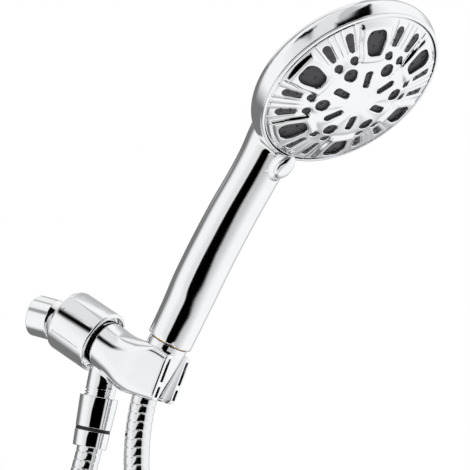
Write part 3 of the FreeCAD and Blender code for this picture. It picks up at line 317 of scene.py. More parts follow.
# %% Camera
EYE = Vector((1.0692, -1.7826, -0.2694))
RIGHT = Vector((0.8864, 0.463, 0.0)).normalized()
UP = Vector((0.0705, -0.1349, 0.9884)).normalized()
bpy.ops.object.camera_add()
camera = bpy.context.object
camera.matrix_world = Matrix((RIGHT, UP, RIGHT.cross(UP))).transposed().to_4x4()
camera.location = EYE
camera.data.sensor_width = 36.0
camera.data.lens = 259.66
camera.data.clip_end = 20.0
bpy.context.scene.camera = camera

# %% [markdown]
# ## Hose
# The hose is steel strip wound so that each turn hooks into the next: it shows as a row of rounded ribs with a
# narrow groove between. It leaves the spout nut, hangs, winds into the put-away coil and rises to the cone nut. Its
# route is a short list of points, smoothed by a NURBS curve; the ribs are then laid along that curve.

# %% Route of the hose
HOSE_R = 7.8
RIB_PITCH = 5.3
COIL_R = 78.0
COIL_CENTRE = Vector((46.0, 0.0, -256.0))
COIL_Y = (-22.0, 22.0)
COIL_FROM = math.radians(150.0)
COIL_TURNS = 2 + 2 / 3
COIL_STEPS = 16                # points in a turn
LOW_POINTS = [(41.93, 0.0, -66.06), (35.5, 0.0, -107.0), (2.0, -23.0, -176.0)]
UP_POINTS = [(85.45, 0.0, -34.62), (77.0, 0.0, -50.5), (71.8, 0.0, -74.0), (70.3, 0.5, -98.0), (73.0, 2.5, -126.0),
             (81.0, 10.0, -158.0), (101.5, 21.0, -194.5), (113.5, 22.0, -217.0)]


def coil_points():
    """Turns of the put-away coil, by angle."""
    count = round(COIL_TURNS * COIL_STEPS)
    points = []
    for i in range(count + 1):
        angle = COIL_FROM + 2 * math.pi * COIL_TURNS * i / count
        across = COIL_Y[0] + (COIL_Y[1] - COIL_Y[0]) * i / count
        points.append((COIL_CENTRE.x + COIL_R * math.cos(angle), across, COIL_CENTRE.z + COIL_R * math.sin(angle)))
    return points


def nurbs_path(name, points):
    """Points read from a smooth spline that has the given control points, in millimetres."""
    curve = bpy.data.curves.new(name, "CURVE")
    curve.dimensions = "3D"
    spline = curve.splines.new("NURBS")
    spline.points.add(len(points) - 1)
    for point, place in zip(spline.points, points):
        point.co = (*[c * MM for c in place], 1.0)
    spline.order_u = 3
    spline.use_endpoint_u = True
    spline.resolution_u = 24
    holder = bpy.data.objects.new(name, curve)
    bpy.context.scene.collection.objects.link(holder)
    bpy.context.view_layer.update()
    mesh = bpy.data.meshes.new_from_object(holder.evaluated_get(bpy.context.evaluated_depsgraph_get()))
    path = [v.co.copy() for v in mesh.vertices]
    bpy.data.objects.remove(holder)
    bpy.data.curves.remove(curve)
    bpy.data.meshes.remove(mesh)
    return path


def path_length(path):
    """Length of a row of points."""
    return sum((b - a).length for a, b in zip(path, path[1:]))


# %% Ribbed tube along a path
# distance along one rib, as a share of the pitch, and the radius there as a share of the hose radius
RIB = ((0.0, 0.945), (0.05, 0.975), (0.1, 0.99), (0.15, 0.998), (0.2, 1.0),
       (0.8, 1.0), (0.85, 0.998), (0.9, 0.99), (0.95, 0.975))
HOSE_SIDES = 24


def ribbed_tube(name, path):
    """Mesh tube with ribs along a path, closed at both ends."""
    total = path_length(path)
    ribs = round(total / (RIB_PITCH * MM))
    stations = [(i + share) * total / ribs for i in range(ribs) for share, _ in RIB] + [total]
    radii = [share * HOSE_R * MM for _ in range(ribs) for _, share in RIB]
    radii.append(radii[0])
    mesh = bmesh.new()
    rings = []
    side = Vector((0, 1, 0))
    k, gone = 0, 0.0                # the step of the path in hand, and the length before it
    for station, radius in zip(stations, radii):
        while k < len(path) - 2 and gone + (path[k + 1] - path[k]).length < station:
            gone += (path[k + 1] - path[k]).length
            k += 1
        step = path[k + 1] - path[k]
        ahead = step.normalized()
        at = path[k] + ahead * (station - gone)
        side = (side - ahead * side.dot(ahead)).normalized()
        other = ahead.cross(side)
        ring = []
        for i in range(HOSE_SIDES):
            angle = 2 * math.pi * i / HOSE_SIDES
            ring.append(mesh.verts.new(at + (side * math.cos(angle) + other * math.sin(angle)) * radius))
        rings.append(ring)
    for low, high in zip(rings, rings[1:]):
        for i in range(HOSE_SIDES):
            j = (i + 1) % HOSE_SIDES
            mesh.faces.new((low[i], low[j], high[j], high[i]))
    mesh.faces.new(list(reversed(rings[0])))
    mesh.faces.new(rings[-1])
    data = bpy.data.meshes.new(name)
    mesh.to_mesh(data)
    mesh.free()
    obj = bpy.data.objects.new(name, data)
    bpy.context.scene.collection.objects.link(obj)
    only(obj)
    bpy.ops.object.shade_smooth()
    print(name, "length", round(total, 3), "ribs", ribs)
    return obj


# %% The two lengths of the hose
coil = coil_points()
lower_path = nurbs_path("lower_route", LOW_POINTS + coil)
upper_path = nurbs_path("upper_route", UP_POINTS)
hose_low = ribbed_tube("hose_from_bracket", lower_path)
hose_up = ribbed_tube("hose_to_handset", upper_path)
dress(hose_low, "bracket", "hose_steel", hose_steel, "hose_lower_run", "hose_coil")
hose_up.data.materials.append(hose_steel)
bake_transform(hose_up)
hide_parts("hose_upper_run")

# %% [markdown]
# ## Handset shell
# The handle, neck and head are one plated moulding. The handle is a row of ovals that changes softly with height, and
# the head is turned like a bowl. Both are made here with many small faces, because a mirror shows every flat. They
# are added together, hollowed, and then given one even skin whose smoothing rolls the creases over, as a mould does.

# %% Handle
WALL = 2.4
HANDLE_LEVELS = 160
HANDLE_SIDES = 96
# height over the foot, reach to the front, reach to the back, half width
HANDLE_ROWS = [
    (0.0, 14.4, 14.4, 13.7), (16.0, 14.2, 15.3, 13.75), (24.0, 13.9, 15.9, 13.9), (36.0, 13.2, 16.6, 14.9),
    (48.0, 12.7, 17.1, 14.95), (60.0, 12.5, 17.4, 14.9), (85.0, 12.8, 17.0, 14.9), (110.0, 14.0, 15.5, 14.7),
    (125.0, 14.7, 15.3, 15.0), (140.0, 15.5, 16.3, 15.9), (165.0, 17.4, 14.2, 17.0), (190.0, 21.4, 8.2, 18.0),
    (212.0, 27.4, -4.0, 18.2), (228.0, 34.4, -18.0, 16.8), (238.0, 41.4, -29.5, 13.0), (244.0, 46.4, -38.5, 8.0)]


def between_rows(rows, at):
    """Smooth curve through the rows, read at a height: it keeps the slope of the rows on each side."""
    k = max(i for i in range(len(rows) - 1) if rows[i][0] <= at)
    low, high = rows[k], rows[k + 1]
    before, after = rows[max(k - 1, 0)], rows[min(k + 2, len(rows) - 1)]
    span = high[0] - low[0]
    t = (at - low[0]) / span
    values = []
    for i in range(1, len(low)):
        start = (high[i] - before[i]) / (high[0] - before[0]) * span
        end = (after[i] - low[i]) / (after[0] - low[0]) * span
        values.append((2 * t ** 3 - 3 * t ** 2 + 1) * low[i] + (t ** 3 - 2 * t ** 2 + t) * start
                      + (3 * t ** 2 - 2 * t ** 3) * high[i] + (t ** 3 - t ** 2) * end)
    return values


def skin(name, outlines, place):
    """Closed mesh over a row of outlines that have the same number of points."""
    count = len(outlines[0])
    faces = [tuple(reversed(range(count)))]
    for k in range(len(outlines) - 1):
        for i in range(count):
            j = (i + 1) % count
            faces.append((k * count + i, k * count + j, (k + 1) * count + j, (k + 1) * count + i))
    faces.append(tuple((len(outlines) - 1) * count + i for i in range(count)))
    return settled(new_object(name, [point for line in outlines for point in line], [], faces), place)


def handle_ovals():
    """Ovals of the handle and neck, from the foot to the inside of the head."""
    top = HANDLE_ROWS[-1][0]
    ovals = []
    for k in range(HANDLE_LEVELS + 1):
        height = top * k / HANDLE_LEVELS
        front, back, half_w = between_rows(HANDLE_ROWS, min(height, top - 0.001))
        oval = []
        for i in range(HANDLE_SIDES):
            angle = 2 * math.pi * i / HANDLE_SIDES
            oval.append(((front - back) / 2 + (front + back) / 2 * math.cos(angle), half_w * math.sin(angle), height))
        ovals.append(oval)
    return ovals


# %% Head bowl
SEAM_R = 57.0
RIM_R = 61.1
MOUTH_R = 58.6
SHOULDER = -13.3               # height where the side turns into the back
BACK_DEPTH = 31.0
SIDE_STEPS, BACK_STEPS = 14, 32


def bowl_line(inset, mouth_at):
    """Half outline of the bowl, from its mouth over the rim to the middle of its back."""
    rim = RIM_R - inset
    # depth and radius
    rows = [(-mouth_at, MOUTH_R - inset), (4.3, rim - 0.9), (9.5, rim), (-SHOULDER, rim - 1.8)]
    fall = (mouth_at - SHOULDER) / SIDE_STEPS
    side = []
    for i in range(SIDE_STEPS + 1):
        radius = between_rows(rows, -mouth_at + fall * i * 0.9999)[0]
        side.append(Vector((radius, mouth_at - fall * i)))
    start, end = side[-1], Vector((0.0, -BACK_DEPTH + inset))
    bend = Vector((RIM_R - 7.0 - inset, -17.5 + inset * 0.5))
    level = Vector((26.0, -BACK_DEPTH + inset))
    back = []
    for i in range(1, BACK_STEPS + 1):
        t = i / BACK_STEPS
        back.append(start * (1 - t) ** 3 + bend * (3 * t * (1 - t) ** 2) + level * (3 * t * t * (1 - t)) + end * t ** 3)
    return [Vector((0.0, mouth_at))] + side + back


# %% Shell, added together and hollowed
shell = skin("shell", handle_ovals(), HANDSET)
over_face = turned_piece("over_face", [(0, -5.5), (SEAM_R, -5.5), (60.5, -0.5), (61.5, 60.0), (0, 60.0)], HEAD)
shell = joined_with(shell, over_face, "DIFFERENCE")
shell = joined_with(shell, turned_piece("bowl", bowl_line(0.0, 1.6), HEAD), "UNION")
shell = joined_with(shell, turned_piece("hollow", bowl_line(WALL, 2.2), HEAD), "DIFFERENCE")
bore = turned_piece("bore", [(0, -1), (12.0, -1), (12.0, 14.0), (10.6, 14.0), (10.6, 110.0), (7.6, 114.0),
                             (7.6, 136.5), (10.6, 136.5), (10.6, 152.0), (0, 152.0)], HANDSET, 96)
shell = joined_with(shell, bore, "DIFFERENCE")
recast(shell, 1.0, 12)

# %% [markdown]
# Three cuts come after the skin, because they must stay crisp: the seat of the face, the hollow that a thumb finds
# under the selector lever, and the shallow ring that lets the lever swing round the rim without touching the neck.

# %% Mouth, thumb hollow and the lever's path
SCOOP_AT = Vector((-63.2, 0.0, 5.2))
SCOOP_HALF = Vector((10.6, 9.8, 8.0))
RIM_STEPS = 320
mouth = turned_piece("mouth", [(0, -2.2), (57.9, -2.2), (57.9, -0.9), (62.0, -0.9), (62.0, 3.0), (0, 3.0)],
                     HEAD, RIM_STEPS)
shell = joined_with(shell, mouth, "DIFFERENCE")
bpy.ops.mesh.primitive_uv_sphere_add(segments=128, ring_count=64, radius=1.0)
scoop = bpy.context.object
for vert in scoop.data.vertices:
    vert.co = HEAD @ ((scaled(vert.co, SCOOP_HALF) + SCOOP_AT) * MM)
shell = joined_with(shell, scoop, "DIFFERENCE")
lever_path = turned_piece("lever_path", [(58.0, 0.8), (62.0, 0.9), (62.5, 2.2), (71.8, 2.2), (71.8, 12.0),
                                         (58.0, 12.0)], HEAD, RIM_STEPS)
shell = joined_with(shell, lever_path, "DIFFERENCE")
smooth_faces(shell)
dress(shell, "handset", "chrome_plastic", chrome_plastic, "handset_shell")

# %% [markdown]
# A thin bright lip closes the gap between the shell and the face. It is one turned ring with a rounded outer corner,
# because it has to catch a fine line of light all the way round.

# %% Bright lip round the face
lip = turned_piece("rim_lip", rounded([
    (57.12, -2.1, 0), (57.85, -2.1, 0), (57.85, -0.85, 0), (58.8, -0.85, 0.1), (58.8, 0.1, 0.5), (57.12, 0.5, 0.3)]),
                   HEAD, RIM_STEPS)
smooth_faces(lip)
dress(lip, "handset", "chrome_plastic", chrome_plastic, "rim_trim_ring")

# %% [markdown]
# ## Bracket
# The arm is one moulding with the slotted cradle. It is lofted from rounded oblongs, given the same even skin as the
# handset, and only then bored and slotted, so that the bore, the slot and the pockets keep crisp edges.

# %% Bracket arm
REACH = 60.4                   # ball to cradle axis
CRADLE = ARM @ Matrix.Translation(Vector((REACH, 0, 0)) * MM)
ARM_LEVELS = 90
# distance from the ball, top edge, bottom edge, half width, corner radius
ARM_ROWS = [
    (12.0, 14.6, -15.0, 14.8, 14.6), (21.0, 14.3, -15.6, 14.9, 14.5), (28.0, 13.4, -16.4, 15.0, 14.0),
    (36.0, 12.8, -17.4, 15.0, 12.8), (46.0, 14.2, -18.9, 15.0, 10.0), (54.0, 16.2, -17.8, 15.2, 7.0),
    (60.4, 17.5, -16.1, 15.2, 5.0), (78.0, 16.7, -11.9, 15.2, 4.5)]


def arm_oblongs():
    """Rounded oblongs along the arm and through the cradle."""
    start, end = ARM_ROWS[0][0], ARM_ROWS[-1][0]
    oblongs = []
    for k in range(ARM_LEVELS + 1):
        at = start + (end - start) * k / ARM_LEVELS
        top, low, half_w, corner = between_rows(ARM_ROWS, min(at, end - 0.001))
        corners = [(-half_w, low, corner), (half_w, low, corner), (half_w, top, corner), (-half_w, top, corner)]
        oblongs.append([(at, p.x, p.y) for p in rounded(corners, 16)])
    return oblongs


def box_piece(name, x0, x1, y0, y1, z0, z1, place):
    """Closed box between two corners."""
    verts = [(x, y, z) for x in (x0, x1) for y in (y0, y1) for z in (z0, z1)]
    faces = [(0, 1, 3, 2), (4, 6, 7, 5), (0, 4, 5, 1), (2, 3, 7, 6), (0, 2, 6, 4), (1, 5, 7, 3)]
    return settled(new_object(name, verts, [], faces), place)


# %% Arm, its flat front and its spout
SPOUT_LEN = 16.6
SPOUT_R = 9.3
FRONT_AT = Vector((13.2, 0.0, 4.2))               # a point of the cradle's flat front, from the cradle's axis
FRONT_LEAN = math.atan2(4.0, 29.4)
arm = skin("bracket_arm", arm_oblongs(), ARM)
front_plane = CRADLE @ Matrix.Translation(FRONT_AT * MM) @ Matrix.Rotation(-FRONT_LEAN, 4, "Y")
arm = joined_with(arm, box_piece("front", 0, 30, -30, 30, -60, 60, front_plane), "DIFFERENCE")
spout = turned_piece("spout", [(0, -6), (SPOUT_R, -6), (SPOUT_R, SPOUT_LEN + 1), (0, SPOUT_LEN + 1)], SPOUT, 128)
arm = joined_with(arm, spout, "UNION")
recast(arm, 0.5, 34)

# %% Neck, bore, slot, pockets and ball seat
CRADLE_LOW, CRADLE_HIGH = -24.0, 20.0
SLOT_HALF = 8.0
POCKET_IN, POCKET_OUT = 9.5, 12.6                 # from the middle of the slot
POCKETS = ((-0.2, 14.6, 11.4), (-10.0, -3.2, 15.4))    # low end, high end, face of the jaw there
BALL_SEAT_R = 12.9
neck = turned_piece("neck", [(15.1, -1.1), (16.6, -1.1), (16.6, 15.0), (0, 15.0), (0, 9.1), (15.1, 9.1)], COLLAR, 128)
arm = joined_with(arm, neck, "UNION")
bore = turned_piece("cradle_bore", [(0, CRADLE_LOW), (10.65, CRADLE_LOW), (12.55, CRADLE_HIGH), (0, CRADLE_HIGH)],
                    CRADLE, 192)
arm = joined_with(arm, bore, "DIFFERENCE")
slot = box_piece("slot", 0, 24, -SLOT_HALF, SLOT_HALF, CRADLE_LOW, CRADLE_HIGH, CRADLE)
arm = joined_with(arm, slot, "DIFFERENCE")
for side in (-1, 1):
    low_y, high_y = sorted((side * POCKET_IN, side * POCKET_OUT))
    for low_z, high_z, front in POCKETS:
        pocket = box_piece("pocket", front - 5.0, 17.0, low_y, high_y, low_z, high_z, CRADLE)
        arm = joined_with(arm, pocket, "DIFFERENCE")
tip = turned_piece("spout_bore", [(0, SPOUT_LEN - 8.0), (7.2, SPOUT_LEN - 8.0), (7.2, SPOUT_LEN), (10.5, SPOUT_LEN),
                                  (10.5, SPOUT_LEN + 2), (0, SPOUT_LEN + 2)], SPOUT, 128)
arm = joined_with(arm, tip, "DIFFERENCE")
bpy.ops.mesh.primitive_uv_sphere_add(segments=96, ring_count=48, radius=BALL_SEAT_R * MM, location=ball_centre)
arm = joined_with(arm, bpy.context.object, "DIFFERENCE")
smooth_faces(arm)
dress(arm, "bracket", "chrome_plastic", chrome_plastic, "bracket_body")

# %% [markdown]
# ## Turned nuts
# The collar nut, the hose nut and its sleeve are lathe work. Their outlines are spun with many steps, so that the
# long reflections on them stay straight. Eight thin grooves are then milled along the collar.

# %% Collar nut
collar = turned_piece("collar", rounded([
    (17.8, -10.4, 0), (19.4, -8.4, 1.2), (19.35, -7.4, 0), (19.7, -7.3, 0.2), (19.7, 20.6, 1.6), (17.8, 20.6, 0.2),
    (17.8, 15.6, 0), (16.7, 15.2, 0), (16.7, -7.6, 0), (11.6, -7.6, 0), (11.6, -8.2, 0)]), COLLAR)
GROOVES = 8
GROOVE_AT = 19.6
for i in range(GROOVES):
    turn = Matrix.Rotation(2 * math.pi * (i + 0.5) / GROOVES, 4, "Z")
    groove = turned_piece("groove", rounded([(0, -5.6, 0), (0.6, -5.6, 0.3), (0.6, 16.0, 0.3), (0, 16.0, 0)], 3),
                          COLLAR @ turn @ Matrix.Translation(Vector((GROOVE_AT, 0, 0)) * MM), 12)
    collar = joined_with(collar, groove, "DIFFERENCE")
smooth_faces(collar)
dress(collar, "collar", "chrome_plastic", chrome_plastic, "collar_nut")

# %% Hose nut and sleeve
NUT_TOP, BAND_AT, SLEEVE_AT, SLEEVE_END = 21.2, 40.4, 42.5, 52.4      # down the spout
TOP_R, TAPER = 11.85, 1.45


def nut_radius(at):
    """The nut, its band and its sleeve narrow evenly."""
    return TOP_R - TAPER * (at - NUT_TOP) / (SLEEVE_END - NUT_TOP)


nut = turned_piece("nut", rounded([
    (10.45, NUT_TOP, 0), (TOP_R, NUT_TOP, 0.5), (nut_radius(BAND_AT), BAND_AT, 0.3), (8.25, BAND_AT, 0),
    (8.25, 35.0, 0), (10.45, 35.0, 0)]), SPOUT)
smooth_faces(nut)
dress(nut, "hose_nut", "chrome_brass", chrome_brass, "hose_nut")
sleeve = turned_piece("sleeve", rounded([
    (8.22, SLEEVE_AT, 0), (nut_radius(SLEEVE_AT), SLEEVE_AT, 0.3), (nut_radius(SLEEVE_END), SLEEVE_END, 0.8),
    (8.22, SLEEVE_END, 0)]), SPOUT)
smooth_faces(sleeve)
dress(sleeve, "bracket", "chrome_brass", chrome_brass, "nut_sleeve")

# %% [markdown]
# A hose has facts of its own, next to its shape: where it leaves the object, how thick and how stiff it is, how long
# it is, and which fittings go with it.

# %% [markdown]
# ## Face plate
# The face is a chromed dome pierced by 42 windows. Round each of the six large ones the dome is raised, out to the
# rim, and fine ridges run outwards between the slots. The pattern repeats six times, so one sixth is drawn flat,
# filled with small triangles that follow each window's edge, lifted by one height rule, and copied round.

# %% Windows of one sixth, drawn flat
PLATE_R = 56.6
SPOKES = 6
STEP = 2 * math.pi / SPOKES
FIRST_EDGE = math.radians(-45.0)             # from the middle of a large window: a line that meets no window


def wedge(grow):
    """Large window, wide towards the rim."""
    half = [(34.2 - grow, 4.4 + grow, 3.6 + grow), (45.4, 7.2 + grow, 7.5 + grow),
            (50.5 + grow, 4.9 + grow, 4.0 + grow)]
    other = [(x, -y, radius) for x, y, radius in half]
    return [other[0]] + half + [other[2], other[1]]


def slot_plan(start, half_start, end, half_end, grow):
    """Slot along a radius with round ends."""
    a, b = half_start + grow, half_end + grow
    low, high = start - grow, end + grow
    return [(low, -a, a * 0.9), (low, a, a * 0.9), (high, b, b * 0.9), (high, -b, b * 0.9)]


def disc_plan(at, radius, grow):
    """Round window."""
    r = radius + grow
    return [(at - r, -r, r * 0.999), (at - r, r, r * 0.999), (at + r, r, r * 0.999), (at + r, -r, r * 0.999)]


def sixth_windows(grow):
    """Outlines of the seven windows of one sixth, all wider by the same amount."""
    plans = [(wedge(grow), 0), (slot_plan(11.5, 2.3, 23.6, 2.6, grow), 0), (disc_plan(25.1, 4.4, grow), -30)]
    for aside in (-8.9, 8.9):
        plans.append((slot_plan(39.2, 1.7, 51.8, 2.8, grow), -30 + aside))
        plans.append((disc_plan(33.5, 2.65, grow), -30 + aside))
    lines = []
    for plan, degrees in plans:
        spin = Matrix.Rotation(math.radians(degrees), 2)
        lines.append([spin @ p for p in rounded(plan, 7)])
    return lines


def inside(point, line):
    """Whether a point lies inside a closed outline."""
    hit = False
    for a, b in zip(line, line[1:] + line[:1]):
        if (a.y > point.y) != (b.y > point.y) and point.x < (b.x - a.x) * (point.y - a.y) / (b.y - a.y) + a.x:
            hit = not hit
    return hit


def soft_step(value, start, end):
    """0 before the start, 1 after the end, smooth between."""
    t = min(max((value - start) / (end - start), 0.0), 1.0)
    return t * t * (3 - 2 * t)


EDGE_ROUND = 1.3


def face_height(x, y):
    """Height of the plated dome: raised round the large windows, with ridges between the slots."""
    r = math.hypot(x, y)
    dome = 12.3 - 10.7 * (r / 56.0) ** 2
    turn = (math.atan2(y, x) + STEP / 2) % STEP - STEP / 2
    across = abs(r * math.sin(turn))
    along = r * math.cos(turn)
    half = 9.6 - 1.9 * soft_step(along, 44.0, 33.0) + 1.2 * soft_step(along, 46.0, 56.0)
    lobe = soft_step(across, half + 1.9, half - 0.7) * soft_step(along, 28.6, 32.6) * soft_step(r, 55.6, 52.0)
    relief = 2.0 * lobe - 1.3 * soft_step(r, 26.0, 38.0)
    ridges = 0.0
    for degrees in (30.0, 16.5, 25.5):
        gap = abs(abs(math.degrees(turn)) - degrees)
        ridges += 0.45 * soft_step(gap, 0.75, 0.0) * soft_step(r, 34.0, 42.0)
    rays = 0.22 * math.cos(turn * 12) * soft_step(r, 8.0, 16.0) * soft_step(r, 36.0, 28.0)
    edge = max(r - (PLATE_R - EDGE_ROUND), 0.0) / EDGE_ROUND
    return dome + relief + ridges + rays - EDGE_ROUND * (1 - math.sqrt(max(1 - edge * edge, 0.0)))


# %% Face plate mesh
WINDOW_ROWS = ((0.0, -0.42), (0.14, -0.18), (0.4, -0.03), (0.75, 0.0))      # distance from the edge, and its rounding
PLATE_THICK = 1.8
MIDDLE_R = 3.0                 # the middle is closed with one fan of triangles
COLUMNS, ROWS = 80, 66


def sixth_mesh():
    """Points, their heights and the triangles of one sixth of the face."""
    points, drop, edges = [], [], []
    for k, (grow, low) in enumerate(WINDOW_ROWS):
        for line in sixth_windows(grow):
            start = len(points)
            points += line
            drop += [low] * len(line)
            edges += [(start + i, start + (i + 1) % len(line)) for i in range(len(line))]
    keep_out = sixth_windows(1.1)
    radii = [MIDDLE_R + (PLATE_R - 1.2 - MIDDLE_R) * i / ROWS for i in range(ROWS + 1)]
    radii += [PLATE_R - 0.8, PLATE_R - 0.4, PLATE_R - 0.12, PLATE_R]
    rows = {}
    for k, r in enumerate(radii):
        for i in range(COLUMNS + 1):
            angle = FIRST_EDGE + STEP * i / COLUMNS
            point = Vector((r * math.cos(angle), r * math.sin(angle)))
            border = i in (0, COLUMNS) or k in (0, len(radii) - 1)
            if not border and any(inside(point, line) for line in keep_out):
                continue
            rows[(k, i)] = len(points)
            points.append(point)
            drop.append(0.0)
    for k in range(len(radii) - 1):
        edges += [(rows[(k, 0)], rows[(k + 1, 0)]), (rows[(k, COLUMNS)], rows[(k + 1, COLUMNS)])]
    for i in range(COLUMNS):
        edges += [(rows[(0, i)], rows[(0, i + 1)]), (rows[(len(radii) - 1, i)], rows[(len(radii) - 1, i + 1)])]
    flat, _, triangles, origin, _, _ = delaunay_2d_cdt(points, edges, [], 0, 1e-5)
    holes = sixth_windows(-0.001)
    kept = []
    for tri in triangles:
        middle = (flat[tri[0]] + flat[tri[1]] + flat[tri[2]]) / 3
        angle = math.atan2(middle.y, middle.x)
        if middle.length < MIDDLE_R * math.cos(STEP / COLUMNS) or not FIRST_EDGE < angle < FIRST_EDGE + STEP:
            continue
        if not any(inside(middle, line) for line in holes):
            kept.append(tri)
    low = [drop[o[0]] if o else 0.0 for o in origin]
    return flat, low, kept


def face_skin():
    """Upper skin of the plate from six copies of the sixth."""
    flat, low, triangles = sixth_mesh()
    verts, faces = [], []
    for i in range(SPOKES):
        spin = Matrix.Rotation(math.radians(30.0) + STEP * i, 2)
        start = len(verts)
        for point, down in zip(flat, low):
            x, y = spin @ point
            verts.append((x, y, face_height(*point) + down))
        faces += [tuple(start + n for n in tri) for tri in triangles]
    return new_object("spray_plate", verts, [], faces)


# %% Face plate, closed in the middle and given its wall
face = face_skin()
only(face)
bpy.ops.object.mode_set(mode="EDIT")
bpy.ops.mesh.select_all(action="SELECT")
bpy.ops.mesh.remove_doubles(threshold=0.003 * MM)
bpy.ops.mesh.delete_loose()
bpy.ops.object.mode_set(mode="OBJECT")
fill = bmesh.new()
fill.from_mesh(face.data)
ring = [e for e in fill.edges if e.is_boundary and all(v.co.xy.length < (MIDDLE_R + 0.2) * MM for v in e.verts)]
cap = bmesh.ops.holes_fill(fill, edges=ring)
bmesh.ops.poke(fill, faces=cap["faces"])
if sum(f.normal.z for f in fill.faces) < 0:
    bmesh.ops.reverse_faces(fill, faces=fill.faces[:])
fill.to_mesh(face.data)
fill.free()
apply_modifier(face, "SOLIDIFY", thickness=PLATE_THICK * MM, offset=-1.0, use_even_offset=False)
face.data.transform(HEAD)
smooth_faces(face, 60)
print("face plate", len(face.data.polygons), "faces")
dress(face, "spray_face", "chrome_plastic", chrome_plastic, "face_plate")

# %% [markdown]
# ## Selector lever
# The lever is a drop-shaped, plated thumb piece, fixed to the disc that carries the face, so that a push of the thumb
# turns the sprays. A sphere is the nearest start: it is drawn out into a drop, tipped up at its outer end, and kept
# clear of the neck below it.

# %% Lever
LEVER_AT = Vector((-62.2, 0.0, 4.7))
LEVER_HALF = Vector((8.6, 7.4, 3.4))
TIP_RISE = 1.0
UNDER_RIM, UNDER_TIP = 1.3, 2.6                   # height of its underside over the rim and over the neck
bpy.ops.mesh.primitive_uv_sphere_add(segments=96, ring_count=64, radius=1.0)
lever = bpy.context.object
lever.name = "selector_tongue"
for vert in lever.data.vertices:
    out = -vert.co.x
    width = 0.86 + 0.14 * out - 0.1 * out * out
    spot = LEVER_AT + scaled(vert.co, Vector((LEVER_HALF.x, LEVER_HALF.y * width, LEVER_HALF.z)))
    spot.z += TIP_RISE * out
    under = UNDER_RIM + (UNDER_TIP - UNDER_RIM) * soft_step(-spot.x, 60.5, 62.5)
    spot.z = max(spot.z, under)
    vert.co = HEAD @ (spot * MM)
smooth_faces(lever)
dress(lever, "spray_face", "chrome_plastic", chrome_plastic, "selector_lever")
print("lever", len(lever.data.polygons), "faces")

# %% [markdown]
# ## Stage
# A pale floor lies well below the hose, and two square lamps stand in front, on the left and on the right. Mirrors
# don't show the lamps or the floor, because a hard white square on chrome looks like a window.

# %% Floor
FLOOR_Z = -0.36
bpy.ops.mesh.primitive_plane_add(size=6.0, location=(0, 0, FLOOR_Z))
floor = bpy.context.object
floor.name = "floor"
floor_paint = new_finish("matt_floor", "#F4F4F4", 0.0, 0.8, 0.05, 3.0, 0.01)
floor.data.materials.append(floor_paint)
floor.visible_glossy = False

# %% Lamps


def softbox(name, place, aim, size, power):
    """Square area lamp that looks at a point."""
    bpy.ops.object.light_add(type="AREA", location=place)
    lamp = bpy.context.object
    lamp.name = name
    lamp.data.size = size
    lamp.data.energy = power
    lamp.rotation_euler = (Vector(place) - aim).to_track_quat("Z", "Y").to_euler()
    lamp.visible_glossy = False
    return lamp


AIM = Vector((0.13, 0.0, 0.03))
softbox("key", (0.9, -1.3, 1.3), AIM, 0.9, 22.0)
softbox("fill", (-1.0, -1.2, 0.5), AIM, 0.9, 10.0)

# %% [markdown]
# A mirror shows only what stands round it, so the world does most of the work of the chrome. The camera sees plain
# white, and matt surfaces are lit by an even grey. Mirrors see a room, in degrees: azimuth 0 is towards the camera
# and grows to its right, height 0 is level. The room is worked out by a short list of sums, one node for each row,
# and a word in a row is the result of the last row of that name.

